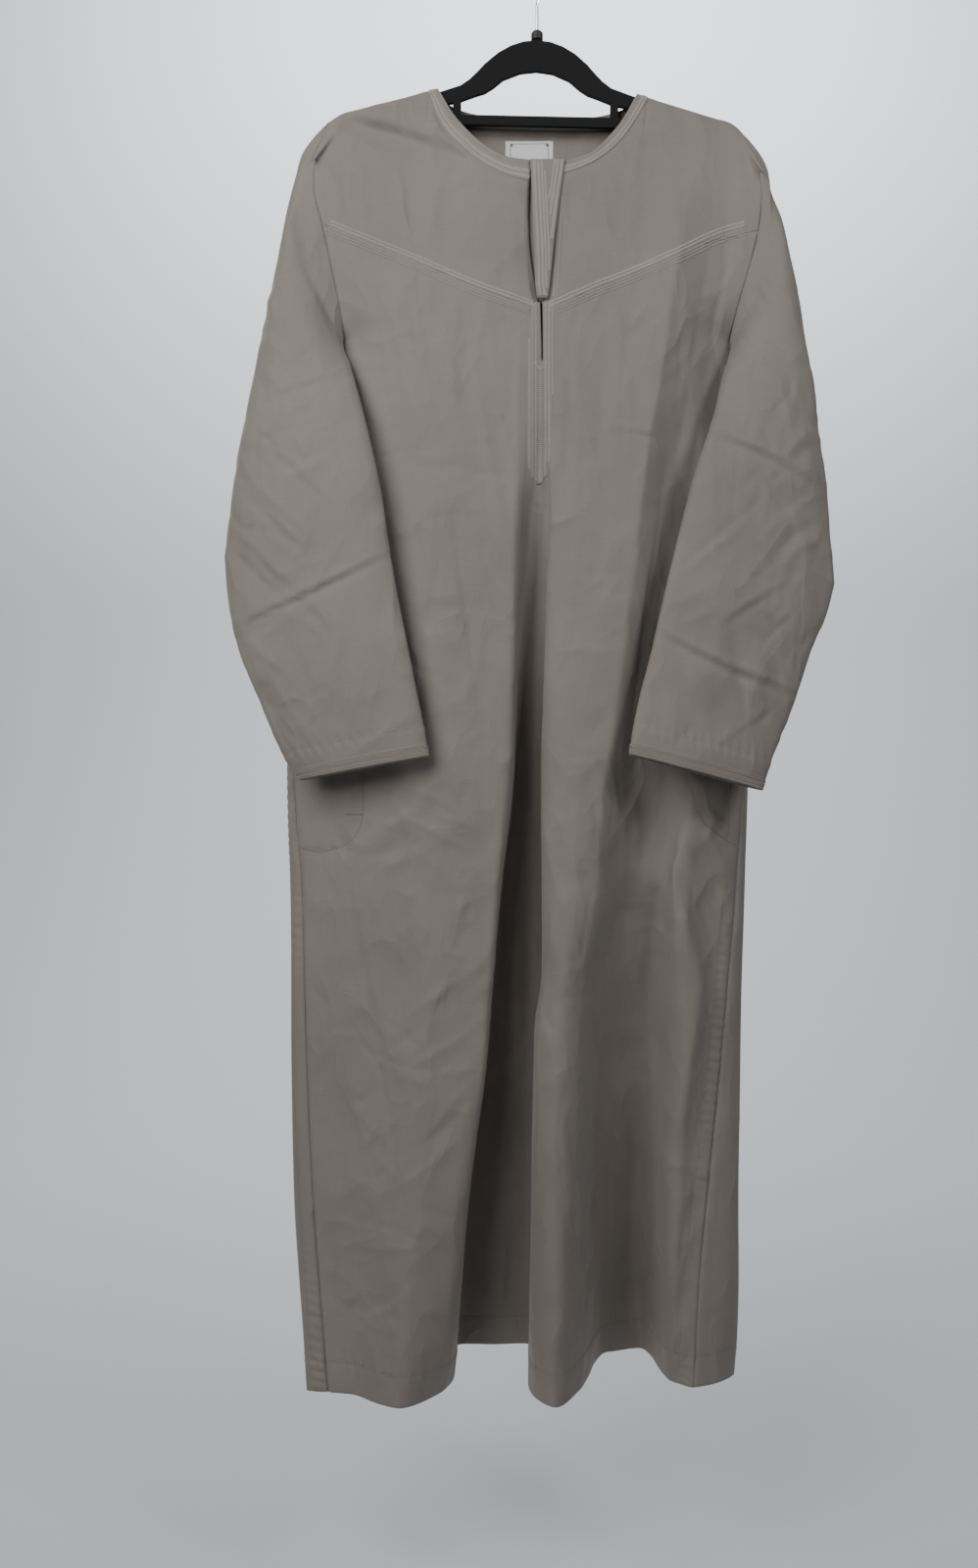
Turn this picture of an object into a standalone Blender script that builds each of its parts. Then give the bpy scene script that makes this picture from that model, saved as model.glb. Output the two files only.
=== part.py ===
"""A collarless thobe robe hung on a thin flocked hanger.

Lengths in the tables are millimetres. The frame is +X to the viewer's right, -Y to the front of the robe and +Z up,
with the origin inside the crown of the wire hook, where the rail goes.
"""

import math

import bmesh
import bpy
import numpy as np
from mathutils import Vector

MM = 0.001

# Cloth
WALL = 1.2
SEAM_GAP = 0.4
TRIM_CLEARANCE = 0.4
TRIM_WALL = 1.0
TAB_WALL = 1.6

# Hanger
PLATE_THICKNESS = 5.6
PLATE_EDGE = 1.2
PLATE_TILT = math.radians(1.2)
ARCH_TOP = -95.0
WIRE_RADIUS = 1.75
HOOK_INNER_RADIUS = 20.0
PLUG_TOP = -85.0
PLUG_RADIUS = 6.6

# The armhole is a tall lens. Share 0 is its top at the shoulder tip and share 1 its foot under the arm.
ARMHOLE_TOP = {"left": -186.0, "right": -202.0}
ARMHOLE_FOOT = -427.0
# share, then x of its back half and of its front half on the left, the same on the right, and its half depth
ARMHOLE = (
    (0.00, -233, -233, 233, 233, 0.2),
    (0.05, -236, -235, 236, 236, 7),
    (0.15, -243, -243, 241, 243, 14),
    (0.30, -247, -246.5, 244, 247, 18),
    (0.50, -245, -237, 244, 243, 19),
    (0.70, -239, -227, 238, 231.5, 18),
    (0.85, -231, -219.5, 231, 222, 13),
    (0.95, -222, -216, 222, 217, 6),
    (1.00, -215, -215, 215, 215, 0.2),
)
SLEEVE_SIDES = 20
# Shares at which the armhole has its points, on the panels and on the sleeve alike
ARMHOLE_SHARES = [(1 - math.cos(2 * math.pi * k / SLEEVE_SIDES)) / 2 for k in range(SLEEVE_SIDES // 2 + 1)]

# Top edge of the shoulders, over the hanger's arms: x, z
SHOULDER = (
    (-233, -186),
    (-215, -175.4),
    (-203, -173.4),
    (-136.5, -155.1),
    (-110, -148.6),
    (109, -154.0),
    (123.4, -158.4),
    (187, -178.1),
    (217.5, -187.0),
    (233, -202),
)
FOLD_DROP = 4.6
FOLD_DEPTH = 4.6

# Neck opening, from the left end of the band under the tab, round the back, to the right end.
# x, y, z of the band's free edge, then of the edge sewn to the robe
NECK = (
    (-8, -23, -238, -9, -28, -262.5),
    (-32, -22, -234.4, -30, -27, -257.5),
    (-49, -20, -226, -56.7, -24, -244),
    (-67.5, -17, -211.5, -83.7, -18, -220.6),
    (-93, -10.5, -181, -106.5, -11, -192),
    (-106.5, -6.4, -157, -118, -7.2, -163),
    (-109.2, -4.9, -152.4, -120.6, -5.0, -155.6),
    (-110, 0, -148.6, -121.3, 0, -151.4),
    (-109, 4.9, -152.4, -120.4, 5.0, -155.6),
    (-104, 7, -159, -115, 8.2, -168),
    (-84, 9.5, -168.5, -91, 11, -183.5),
    (-58, 11.3, -173.6, -62, 12.8, -189.5),
    (-30, 12.2, -176.6, -30, 14, -193),
    (0, 12.5, -178, 0, 14.3, -194.6),
    (30, 12.2, -177.4, 30, 14, -194),
    (58, 11.3, -175.6, 62, 12.8, -191.5),
    (84, 9.5, -171.5, 92, 11, -187),
    (104, 7, -164, 116, 8.2, -172.5),
    (110.2, 4.9, -157.6, 122.2, 5.0, -162.6),
    (111, 0, -154.6, 123.3, 0, -158.4),
    (110.2, -4.9, -157.6, 122.4, -5.0, -162.6),
    (107.2, -6.4, -163, 119.6, -7.2, -169),
    (96, -10.5, -184.5, 108.5, -11, -189),
    (79.3, -17, -208.2, 87.8, -18, -218.4),
    (57, -20.8, -229, 58.3, -24.5, -242.5),
    (29.3, -23, -238, 31, -27.4, -254),
    (8, -23.5, -238.5, 7, -28, -259),
)

# V seam between the yokes and the front body: x, z
V_SEAM = (
    (-237, -306.5),
    (-228, -311.5),
    (-173, -337.5),
    (-125, -359.3),
    (-78, -381),
    (-25, -401.2),
    (0, -404),
    (28, -403.3),
    (65, -385.6),
    (104, -369),
    (153, -346),
    (201, -322),
    (228, -317),
    (243, -314.5),
)

# Front fold lines, from the left side seam to the right one, and how many strips lie between a line and the next.
FRONT_LINES = (
    "seam_left",
    "flank_left",
    "middle_left",
    "crest_left",
    "edge_left",
    "floor_left",
    "floor_right",
    "edge_right",
    "crest_right",
    "flank_right",
    "dip_left",
    "dip_right",
    "ridge_right",
    "seam_right",
)
FRONT_STRIPS = (3, 3, 4, 4, 2, 2, 2, 4, 4, 3, 3, 3, 3)
OPENING = (FRONT_LINES.index("floor_left"), FRONT_LINES.index("floor_right"))
# Where each line starts: x on the shoulder edge, or its row of NECK
FRONT_SHOULDER_X = {0: -233, 1: -180, 2: -121.3, 9: 123.3, 10: 155, 11: 187, 12: 214, 13: 233}
FRONT_NECK_ROW = {2: 7, 3: 3, 4: 1, 5: 0, 6: 26, 7: 25, 8: 23, 9: 19}
# z, then x and y of each line, in the order of FRONT_LINES
FRONT = (
    (-303, -237.5, -19, -190, -27, -146, -34, -84, -40, -21, -43, 0, -43, 3.2, -43, 18, -43, 64, -41, 107, -37,
     140, -33, 167, -30, 200, -25, 244, -19),
    (-345, -229, -18, -189, -27, -145, -35, -83, -42, -21, -45, 0.4, -44.6, 3.8, -44.6, 18, -45, 64, -44, 107, -39,
     140, -35, 167, -31, 198, -26, 236, -18),
    (-395, -218.5, -12, -188, -26, -144, -36, -82, -44, -21, -47, 1, -46, 4.6, -46, 18, -47, 65, -46, 108, -41,
     141, -36, 168, -32, 195, -25, 221.5, -12),
    (-427, -215, 0, -187, -20, -144, -36, -82, -45, -21, -48, 1.6, -46.5, 5.4, -46.5, 18, -48, 66, -48, 109, -43,
     141, -37, 168, -32, 194, -20, 215, 0),
    (-470, -231, -3, -196, -19, -148, -38, -83, -48, -22, -50, 2, -47, 6, -47, 17, -49, 63, -51, 109, -45,
     142, -38, 169, -33, 197, -19, 226, -3),
    (-595, -258, -5, -211, -28, -156, -43, -86, -54, -24, -54, -4, -45, 8, -45, 14, -52, 58, -57, 111, -50,
     144, -42, 173, -36, 205, -26, 234, -6),
    (-753, -270, -7, -224, -29, -164, -46, -100, -60, -30, -60, -17, -34, 1, -34, 3, -54, 47, -64, 95, -56,
     130, -42, 166, -36, 197, -28, 231, -9),
    (-902, -270, -10, -218, -32, -158, -50, -96, -66, -35, -64, -26, -16, -3, -16, -3, -54, 37, -68, 76, -57,
     116, -38, 150, -34, 185, -32, 228, -11),
    (-1040, -260, -16, -210, -34, -158, -52, -105, -68, -47, -64, -40, 0, -3, 0, -1, -54, 30, -70, 55, -58,
     103, -26, 128, -24, 147, -44, 220, -13),
    (-1201, -255, -21, -212, -38, -163, -56, -115, -70, -57, -62, -52, 14, -2, 14, -3, -50, 19, -72, 41, -56,
     87, -4, 117, -2, 160, -40, 205, -16),
    (-1362, -247, -29, -210, -42, -168, -60, -130, -74, -76, -56, -74, 28, -3, 28, -7, -46, 17, -74, 40, -52,
     80, 18, 113, 18, 155, -34, 188, -21),
    (-1493, -236, -37, -205, -45, -169, -64, -139, -77, -87, -44, -88, 38, -5, 38, -9, -38, 17, -76, 43, -44,
     77, 32, 115, 34, 148, -26, 175, -27),
    (-1583, -228, -41, -201, -46, -170, -69, -146, -78, -95, -18, -91, 45, -5, 45, -10, -32, 17, -76, 46, -35,
     79, 42, 122, 44, 144, -14, 169, -31),
)
FRONT_HEM = (-1582, -1582, -1582, -1582, -1580, -1566, -1566, -1581, -1582, -1581, -1574, -1570, -1580, -1582)

# Back fold lines, from the right side seam round the back to the left one
BACK_LINES = (
    "seam_right",
    "side_right",
    "fold_right",
    "hollow_right",
    "fold_middle_right",
    "hollow_middle",
    "fold_middle_left",
    "hollow_left",
    "fold_left",
    "side_left",
    "seam_left",
)
BACK_STRIPS = (2, 3, 4, 4, 4, 4, 4, 4, 3, 2)
BACK_SHOULDER_X = {0: 233, 1: 226, 2: 178, 3: 123.3, 7: -121.3, 8: -178, 9: -226, 10: -233}
BACK_NECK_ROW = {3: 19, 4: 15, 5: 13, 6: 11, 7: 7}
# z, then x and y of each line but the seams, which the front gives
BACK = (
    (-250, 236, 21, 182, 25, 123, 25, 62, 24, 0, 23, -62, 24, -123, 25, -182, 25, -238, 22),
    (-345, 235, 25, 180, 33, 124, 35, 62, 35, 0, 34, -62, 35, -124, 35, -180, 33, -236, 25),
    (-395, 215, 21, 180, 34, 125, 39, 62, 41, 0, 39, -62, 41, -125, 39, -180, 34, -215, 21),
    (-427, 211, 12, 184, 33, 126, 40, 63, 44, 0, 41, -62, 44, -126, 40, -184, 33, -211, 12),
    (-470, 232, 2, 190, 33, 126, 42, 64, 48, 0, 44, -62, 48, -128, 42, -190, 33, -238, 2),
    (-595, 240, 2, 196, 38, 126, 44, 66, 54, 0, 47, -64, 54, -132, 44, -206, 37, -265, 2),
    (-753, 238, 1, 196, 44, 127, 47, 68, 62, -2, 50, -68, 62, -136, 48, -212, 42, -276, 0),
    (-902, 236, 0, 194, 52, 127, 52, 70, 70, -4, 54, -72, 70, -138, 53, -214, 50, -278, -2),
    (-1040, 231, 0, 192, 62, 128, 58, 71, 79, -6, 60, -76, 79, -140, 59, -214, 58, -274, -7),
    (-1201, 227, 0, 190, 72, 128, 63, 72, 90, -8, 66, -80, 90, -142, 66, -212, 68, -272, -12),
    (-1362, 225, 0, 188, 82, 129, 68, 73, 99, -10, 70, -84, 99, -143, 71, -210, 78, -268, -19),
    (-1493, 224, 0, 187, 88, 129, 70, 74, 104, -12, 72, -86, 104, -144, 73, -208, 84, -259, -27),
    (-1583, 219, 1, 186, 92, 129, 72, 74, 107, -13, 74, -88, 107, -144, 75, -206, 88, -251, -37),
)
BACK_HEM = (-1582, -1582, -1580, -1573, -1580, -1573, -1580, -1573, -1580, -1582, -1582)
# Rows of mesh between the foot of the slit and the hem, on the front and on the back
SKIRT_ROWS = 18
YOKE_BOW = {"left": -5.0, "right": 3.0}

# Rings between the armhole and the first of SLEEVE: how far along, and how far the sleeve head stands out
SLEEVE_HEAD = ((0.12, 2), (0.35, 5), (0.65, 6))
# Sleeve rings from below the sleeve head to the cuff: outer point x, y, z, inner point x, y, z, half thickness,
# bow outwards, and how much of the ring's back is drawn to its front near the inner point
SLEEVE = {
    "left": (
        (-268, -3, -245, -215.5, -4, -433, 20, 14, 0),
        (-278, -5, -287, -214.5, -9, -439, 23, 12, 0.3),
        (-286, -7, -334, -212, -15.5, -448, 25, 9, 0.6),
        (-295, -10, -381, -208, -22, -458, 27, 6, 0.85),
        (-305, -13, -430, -204, -29, -470, 27, 3, 1),
        (-314, -16, -482, -199, -39, -487, 26, 0, 0.9),
        (-322, -20, -526, -191, -50, -514, 25, 0, 0.7),
        (-331, -24, -577, -180, -59, -556, 23, 0, 0.5),
        (-337, -29, -629, -170, -64, -604, 21, 0, 0),
        (-341, -34, -680, -162, -68, -655, 19, 0, 0),
        (-336, -39, -729, -156, -71, -689, 18, 0, 0),
        (-326, -43, -775, -148, -74, -731, 17, 0, 0),
        (-309, -48, -817, -139, -77, -778, 16, 0, 0),
        (-291, -52, -858, -130, -80, -824, 15, 0, 0),
        (-270, -56, -900, -122, -83, -863, 14, 0, 0),
        (-255, -58, -919, -117, -84, -894, 13, 0, 0),
    ),
    "right": (
        (257, -3, -257, 215.5, -4, -433, 20, 14, 0),
        (270, -5, -294, 214.5, -9, -439, 22, 12, 0.2),
        (279, -7, -338, 211.5, -15.5, -448, 25, 9, 0.6),
        (288, -10, -386, 208, -22, -458, 27, 6, 0.85),
        (295, -13, -436, 203, -29, -470, 27, 3, 1),
        (305, -16, -485, 197, -39, -490, 26, 0, 0.9),
        (307, -20, -535, 190, -49, -518, 25, 0, 0.7),
        (315, -24, -590, 180, -57, -550, 23, 0, 0.5),
        (318, -29, -645, 168, -64, -585, 21, 0, 0),
        (322, -34, -699, 153, -68, -638, 19, 0, 0),
        (313, -39, -740, 139, -71, -692, 18, 0, 0),
        (295, -43, -780, 127, -74, -742, 17, 0, 0),
        (280, -48, -823, 116, -77, -790, 16, 0, 0),
        (262, -52, -868, 105, -80, -832, 15, 0, 0),
        (247, -56, -907, 97, -83, -871, 14, 0, 0),
        (239, -58, -930, 94, -84, -892, 13, 0, 0),
    ),
}
SLEEVE_PINCH = 1.0
DRAWN_MOST = 0.8
NORMAL_PASSES = 4
CUFF_TRIM_HEIGHT = 14.5

# Trims that lie on the front: half widths above and below the V seam
V_TRIM_ABOVE = 9.0
V_TRIM_BELOW = 9.0
V_TRIM_ENDS = {"left": (0.3, 4.1), "right": (7.2, 12.7)}
# Tab over the slit: z, left x, right x
TAB = (
    (-239, -8.4, 30.2),
    (-262, -7.6, 27.0),
    (-292, -6.5, 22.4),
    (-336, -4.6, 17.0),
    (-385, -3.7, 12.0),
    (-399, -1.6, 10.0),
)
# Depth below the origin and y of the tab's outer face
TAB_DEPTH = ((239, -26.5), (262, -31.0), (300, -37.5), (350, -44.5), (385, -48.2), (399, -49.0))
# Placket panel: z, left x, right x
PLACKET = (
    (-406, -9.0, 19.0),
    (-437, -11.2, 19.3),
    (-487, -13.4, 18.3),
    (-540, -13.5, 15.6),
    (-576, -13.3, 13.4),
    (-589, -10.3, 10.8),
    (-599.5, -1.5, 2.8),
)
PLACKET_CLEARANCE = 0.9
SLIT_FOOT = -467.0
# Pocket pieces behind the front: inner edge x, top z, foot z, clearance behind the front
POCKETS = {"left": (-188, -768, -993, 0.7), "right": (166, -768, -990, 1.8)}
POCKET_CORNER = 34.0
POCKET_WALL = 1.0
LABEL = {"left": -35.0, "right": 19.0, "top": -199.5, "foot": -228.0, "wall": 0.6}


def clear_scene():
    for item in list(bpy.data.objects):
        bpy.data.objects.remove(item, do_unlink=True)


def material(name, colour, roughness, metallic=0.0):
    made = bpy.data.materials.new(name)
    made.use_nodes = True
    shader = made.node_tree.nodes["Principled BSDF"]
    shader.inputs["Base Color"].default_value = (*colour, 1.0)
    shader.inputs["Roughness"].default_value = roughness
    shader.inputs["Metallic"].default_value = metallic
    return made


def curve_through(knots, values, places):
    """Values at the places, on a smooth curve through the knots that never overshoots them."""
    knots = np.asarray(knots, float)
    values = np.asarray(values, float)
    places = np.clip(np.asarray(places, float), knots[0], knots[-1])
    step = np.diff(knots)
    slope = np.diff(values) / step
    tangent = np.zeros(len(knots))
    tangent[0], tangent[-1] = slope[0], slope[-1]
    for i in range(1, len(knots) - 1):
        if slope[i - 1] * slope[i] > 0:
            before, after = 2 * step[i] + step[i - 1], step[i] + 2 * step[i - 1]
            tangent[i] = (before + after) / (before / slope[i - 1] + after / slope[i])
    at = np.clip(np.searchsorted(knots, places, side="right") - 1, 0, len(step) - 1)
    share = (places - knots[at]) / step[at]
    return (
        (1 + 2 * share) * (1 - share) ** 2 * values[at]
        + share * (1 - share) ** 2 * step[at] * tangent[at]
        + share**2 * (3 - 2 * share) * values[at + 1]
        + share**2 * (share - 1) * step[at] * tangent[at + 1]
    )


def blend(low, high, share):
    return low + (high - low) * share


def ease(low, high, value):
    share = min(max((value - low) / (high - low), 0.0), 1.0)
    return share * share * (3 - 2 * share)


def column_places(strips):
    """Places of the mesh columns, counted in fold lines."""
    places = [0.0]
    for line, count in enumerate(strips):
        places += [line + (step + 1) / count for step in range(count)]
    return np.array(places)


def shoulder_height(x):
    return float(np.interp(x, [row[0] for row in SHOULDER], [row[1] for row in SHOULDER]))


def armhole_point(side, share, sign):
    """A point of the armhole: sign is -1 on its front half and 1 on its back half."""
    column = (1 if side == "left" else 3) + (1 if sign < 0 else 0)
    shares = [row[0] for row in ARMHOLE]
    x = curve_through(shares, [row[column] for row in ARMHOLE], share)
    depth = curve_through(shares, [row[5] for row in ARMHOLE], share)
    return np.array([float(x), sign * float(depth), blend(ARMHOLE_TOP[side], ARMHOLE_FOOT, share)])


def armhole_normal(side, share, sign):
    """Outward direction square to the armhole's edge, seen from the side."""
    if share in (0, 1):
        return np.array([0.0, 0.0, 1.0 - 2 * share])
    _, y, z = armhole_point(side, min(share + 0.01, 1), sign) - armhole_point(side, max(share - 0.01, 0), sign)
    normal = np.array([0.0, -sign * z, sign * y])
    return normal / np.linalg.norm(normal)


def armhole_share(side, height):
    return (ARMHOLE_TOP[side] - height) / (ARMHOLE_TOP[side] - ARMHOLE_FOOT)


def at_height(table, line, part, height):
    heights = [-row[0] for row in table]
    return float(curve_through(heights, [row[1 + 2 * line + part] for row in table], -height))


def side_edge(side, height, sign):
    """The edge of a panel: half the armhole above the underarm, and the side seam below it."""
    share = armhole_share(side, height)
    if share < 1:
        return armhole_point(side, max(share, 0), sign)
    line = 0 if side == "left" else len(FRONT_LINES) - 1
    return np.array([at_height(FRONT, line, 0, height), at_height(FRONT, line, 1, height), height])


def front_point(place, height):
    ends = side_edge("left", height, -1), side_edge("right", height, -1)
    inner_lines = range(1, len(FRONT_LINES) - 1)
    inner = [[at_height(FRONT, line, part, height) for line in inner_lines] for part in (0, 1)]
    lines = range(len(FRONT_LINES))
    across = [[ends[0][part], *inner[part], ends[1][part]] for part in (0, 1)]
    x, y = (float(curve_through(lines, values, [place])[0]) for values in across)
    return np.array([x, y, height])


def back_point(place, height):
    ends = side_edge("right", height, 1), side_edge("left", height, 1)
    inner = [[at_height(BACK, line, part, height) for line in range(len(BACK_LINES) - 2)] for part in (0, 1)]
    lines = range(len(BACK_LINES))
    across = [[ends[0][part], *inner[part], ends[1][part]] for part in (0, 1)]
    x, y = (float(curve_through(lines, values, [place])[0]) for values in across)
    return np.array([x, y, height])


def seam_frame(side, height):
    """Direction from the left of the seam to its right along the cloth, and the cloth's outward normal there."""
    last_front, last_back = len(FRONT_LINES) - 1, len(BACK_LINES) - 1
    if side == "left":
        along = front_point(0.12, height) - back_point(last_back - 0.12, height)
    else:
        along = back_point(0.12, height) - front_point(last_front - 0.12, height)
    down = side_edge(side, height - 4, 1) - side_edge(side, min(height + 4, ARMHOLE_FOOT - 1), 1)
    normal = np.cross(down, along)
    return along / np.linalg.norm(along), normal / np.linalg.norm(normal)


def close_side(grid, normals, column, side, sign):
    """Gives a panel's edge column the seam's own directions, so that two panels never cross at a seam."""
    for r, point in enumerate(grid[:, column]):
        share = armhole_share(side, point[2])
        if share < 0.999:
            normals[r, column] = armhole_normal(side, max(share, 0), sign)
        else:
            along, normals[r, column] = seam_frame(side, min(point[2], ARMHOLE_FOOT - 1))
            left_of_seam = (side == "left") == (sign > 0)
            grid[r, column] += along * (-1 if left_of_seam else 1) * SEAM_GAP / 2


def neck_point(row, edge):
    """A point of the neck opening: edge 0 is the band's free edge and edge 1 the sewn one."""
    knots = range(len(NECK))
    parts = [[point[3 * edge + part] for point in NECK] for part in range(3)]
    return np.array([float(curve_through(knots, values, row)) for values in parts])


def neck_normal(row):
    """Outward direction of the cloth at the neck seam."""
    before, after = max(row - 0.1, 0), min(row + 0.1, len(NECK) - 1)
    normal = np.cross(neck_point(after, 1) - neck_point(before, 1), neck_point(row, 1) - neck_point(row, 0))
    return normal / np.linalg.norm(normal)


def neck_row(place, neck):
    """The row of NECK where this column starts, or None for a column that starts elsewhere."""
    low, high = math.floor(place), math.ceil(place)
    if not min(neck) < place < max(neck) or abs(neck[low] - neck[high]) > len(NECK) / 2:
        return None
    return neck[low] if high == low else blend(neck[low], neck[high], place - low)


def edge_top(place, shoulder, neck, sign):
    """The upper three points of a column, from the shoulder fold or the neck seam down, and the normal at the first."""
    row = neck_row(place, neck)
    if row is not None:
        free, sewn = neck_point(row, 0), neck_point(row, 1)
        top = sewn + (sewn - free) / np.linalg.norm(sewn - free) * SEAM_GAP
        drops = ((0, sign * 0.3, -FOLD_DROP * 0.4), (0, sign * 0.9, -FOLD_DROP))
        return [top, top + drops[0], top + drops[1]], neck_normal(row)
    lines = sorted(shoulder)
    x = float(curve_through(lines, [shoulder[line] for line in lines], place))
    top = np.array([x, sign * SEAM_GAP / 2, shoulder_height(x)])
    rise = shoulder_height(x + 2) - shoulder_height(x - 2)
    drops = ((0, sign * FOLD_DEPTH * 0.66, -FOLD_DROP * 0.3), (0, sign * FOLD_DEPTH, -FOLD_DROP))
    return [top, top + drops[0], top + drops[1]], np.array([-rise, 0, 4]) / math.hypot(rise, 4)


def v_height(x):
    return float(np.interp(x, [row[0] for row in V_SEAM], [row[1] for row in V_SEAM]))


def v_top(place):
    """The height at which a column of the front meets the V seam."""
    height = -360.0
    for _ in range(12):
        height = v_height(front_point(place, height)[0])
    return height


def normals_of(grid, closed):
    """Unit normals of a grid of points, from the differences along its rows and columns."""
    if closed:
        along = np.roll(grid, -1, axis=1) - np.roll(grid, 1, axis=1)
    else:
        along = np.gradient(grid, axis=1)
    across = np.gradient(grid, axis=0)
    normal = np.cross(across, along)
    length = np.linalg.norm(normal, axis=2, keepdims=True)
    return normal / np.maximum(length, 1e-9)


def shell(name, grid, wall, finish, closed=False, skip=None, lift=0.0, normals=None):
    """A wall of cloth. The grid is its outer face; lift moves that face out, and the wall goes inwards from it."""
    grid = np.asarray(grid, float)
    if normals is None:
        normals = normals_of(grid, closed)
    outer = grid + normals * lift
    inner = outer - normals * wall
    rows, columns = grid.shape[:2]
    mesh = bmesh.new()
    layers = [
        [[mesh.verts.new(Vector(layer[r, c]) * MM) for c in range(columns)] for r in range(rows)]
        for layer in (outer, inner)
    ]
    faces = []
    cells = columns if closed else columns - 1
    for r in range(rows - 1):
        for c in range(cells):
            if skip and skip(r, c):
                continue
            corners = ((r, c), (r, (c + 1) % columns), (r + 1, (c + 1) % columns), (r + 1, c))
            faces.append(corners)
            # Both faces of the wall take the same diagonal, so that they never cross in a twisted cell.
            a, b, c, d = (outer[corner] for corner in corners)
            turn = math.dist(a, c) > math.dist(b, d)
            one, two, three, four = corners[turn:] + corners[:turn]
            for triangle in ((one, two, three), (one, three, four)):
                mesh.faces.new([layers[0][i][j] for i, j in triangle])
                mesh.faces.new([layers[1][i][j] for i, j in reversed(triangle)])
    edges = {}
    for corners in faces:
        for start, end in zip(corners, corners[1:] + corners[:1]):
            edges[(start, end)] = edges.get((start, end), 0) + 1
    for start, end in edges:
        if (end, start) not in edges:
            a, b = layers[0][start[0]][start[1]], layers[0][end[0]][end[1]]
            c, d = layers[1][end[0]][end[1]], layers[1][start[0]][start[1]]
            mesh.faces.new((b, a, d, c))
    loose = [vertex for vertex in mesh.verts if not vertex.link_faces]
    bmesh.ops.delete(mesh, geom=loose, context="VERTS")
    bmesh.ops.recalc_face_normals(mesh, faces=mesh.faces)
    data = bpy.data.meshes.new(name)
    mesh.to_mesh(data)
    mesh.free()
    data.materials.append(finish)
    data.shade_smooth()
    data.set_sharp_from_angle(angle=math.radians(50))
    made = bpy.data.objects.new(name, data)
    bpy.context.scene.collection.objects.link(made)
    return made


def front_panel():
    """Outer face of the front below the V seam, as points and normals."""
    places = column_places(FRONT_STRIPS)
    hem = curve_through(range(len(FRONT_LINES)), FRONT_HEM, places)
    half = len(ARMHOLE_SHARES) // 2
    steps = [(share - 0.5) / 0.5 for share in ARMHOLE_SHARES[half:]]
    grid = []
    for c, place in enumerate(places):
        top = v_top(place) - SEAM_GAP / 2
        heights = [blend(top, ARMHOLE_FOOT, step) for step in steps]
        heights += [blend(SLIT_FOOT, hem[c], k / SKIRT_ROWS) for k in range(SKIRT_ROWS + 1)]
        grid.append([front_point(place, z) for z in heights])
    grid = np.swapaxes(np.array(grid), 0, 1)
    normals = normals_of(grid, False)
    close_side(grid, normals, 0, "left", -1)
    close_side(grid, normals, -1, "right", -1)
    return grid, normals


def front_body(panel, finish):
    grid, normals = panel
    places = column_places(FRONT_STRIPS)

    def slit(r, c):
        return OPENING[0] <= places[c] < OPENING[1] and grid[r + 1, c, 2] > SLIT_FOOT - 1

    return shell("front_body", grid, WALL, finish, skip=slit, normals=normals)


def yoke_column(place):
    """One column of a front yoke, from the shoulder or neck edge down to the V seam, and the normal at its top."""
    last = len(FRONT_LINES) - 1
    side = "left" if place < last / 2 else "right"
    end = 0 if side == "left" else last
    shares = ARMHOLE_SHARES[: len(ARMHOLE_SHARES) // 2 + 1]
    edge = np.array([armhole_point(side, share, -1) for share in shares])
    if place == end:
        edge[0] = edge_top(place, FRONT_SHOULDER_X, FRONT_NECK_ROW, -1)[0][0]
        edge[-1, 2] += SEAM_GAP / 2
        return edge, np.array([0.0, 0.0, 1.0])
    top, normal = edge_top(place, FRONT_SHOULDER_X, FRONT_NECK_ROW, -1)
    foot = front_point(place, v_top(place) + SEAM_GAP / 2)
    weight = 1 - ease(0, 1.0, abs(place - end))
    near_opening = 1 - ease(0, 1.0, abs(place - OPENING[0 if side == "left" else 1]))
    column = list(top)
    for r in range(3, len(shares)):
        step = (shares[r] - shares[2]) / (shares[-1] - shares[2])
        bow = (edge[r] - blend(edge[2], edge[-1], step)) * weight
        bow[0] += YOKE_BOW[side] * near_opening * math.sin(math.pi * step)
        column.append(blend(top[2], foot, step) + (bow if r < len(shares) - 1 else 0))
    return np.array(column), normal


def yoke_panel(side):
    """Outer face of a front yoke, as points and normals."""
    places = column_places(FRONT_STRIPS)
    places = places[places <= OPENING[0]] if side == "left" else places[places >= OPENING[1]]
    columns = [yoke_column(place) for place in places]
    grid = np.stack([column for column, _ in columns], axis=1)
    normals = normals_of(grid, False)
    for c, (_, normal) in enumerate(columns):
        normals[0, c] = normal
    edge = 0 if side == "left" else -1
    for r, share in enumerate(ARMHOLE_SHARES[: len(grid)]):
        normals[r, edge] = armhole_normal(side, share, -1)
    return grid, normals


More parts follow.
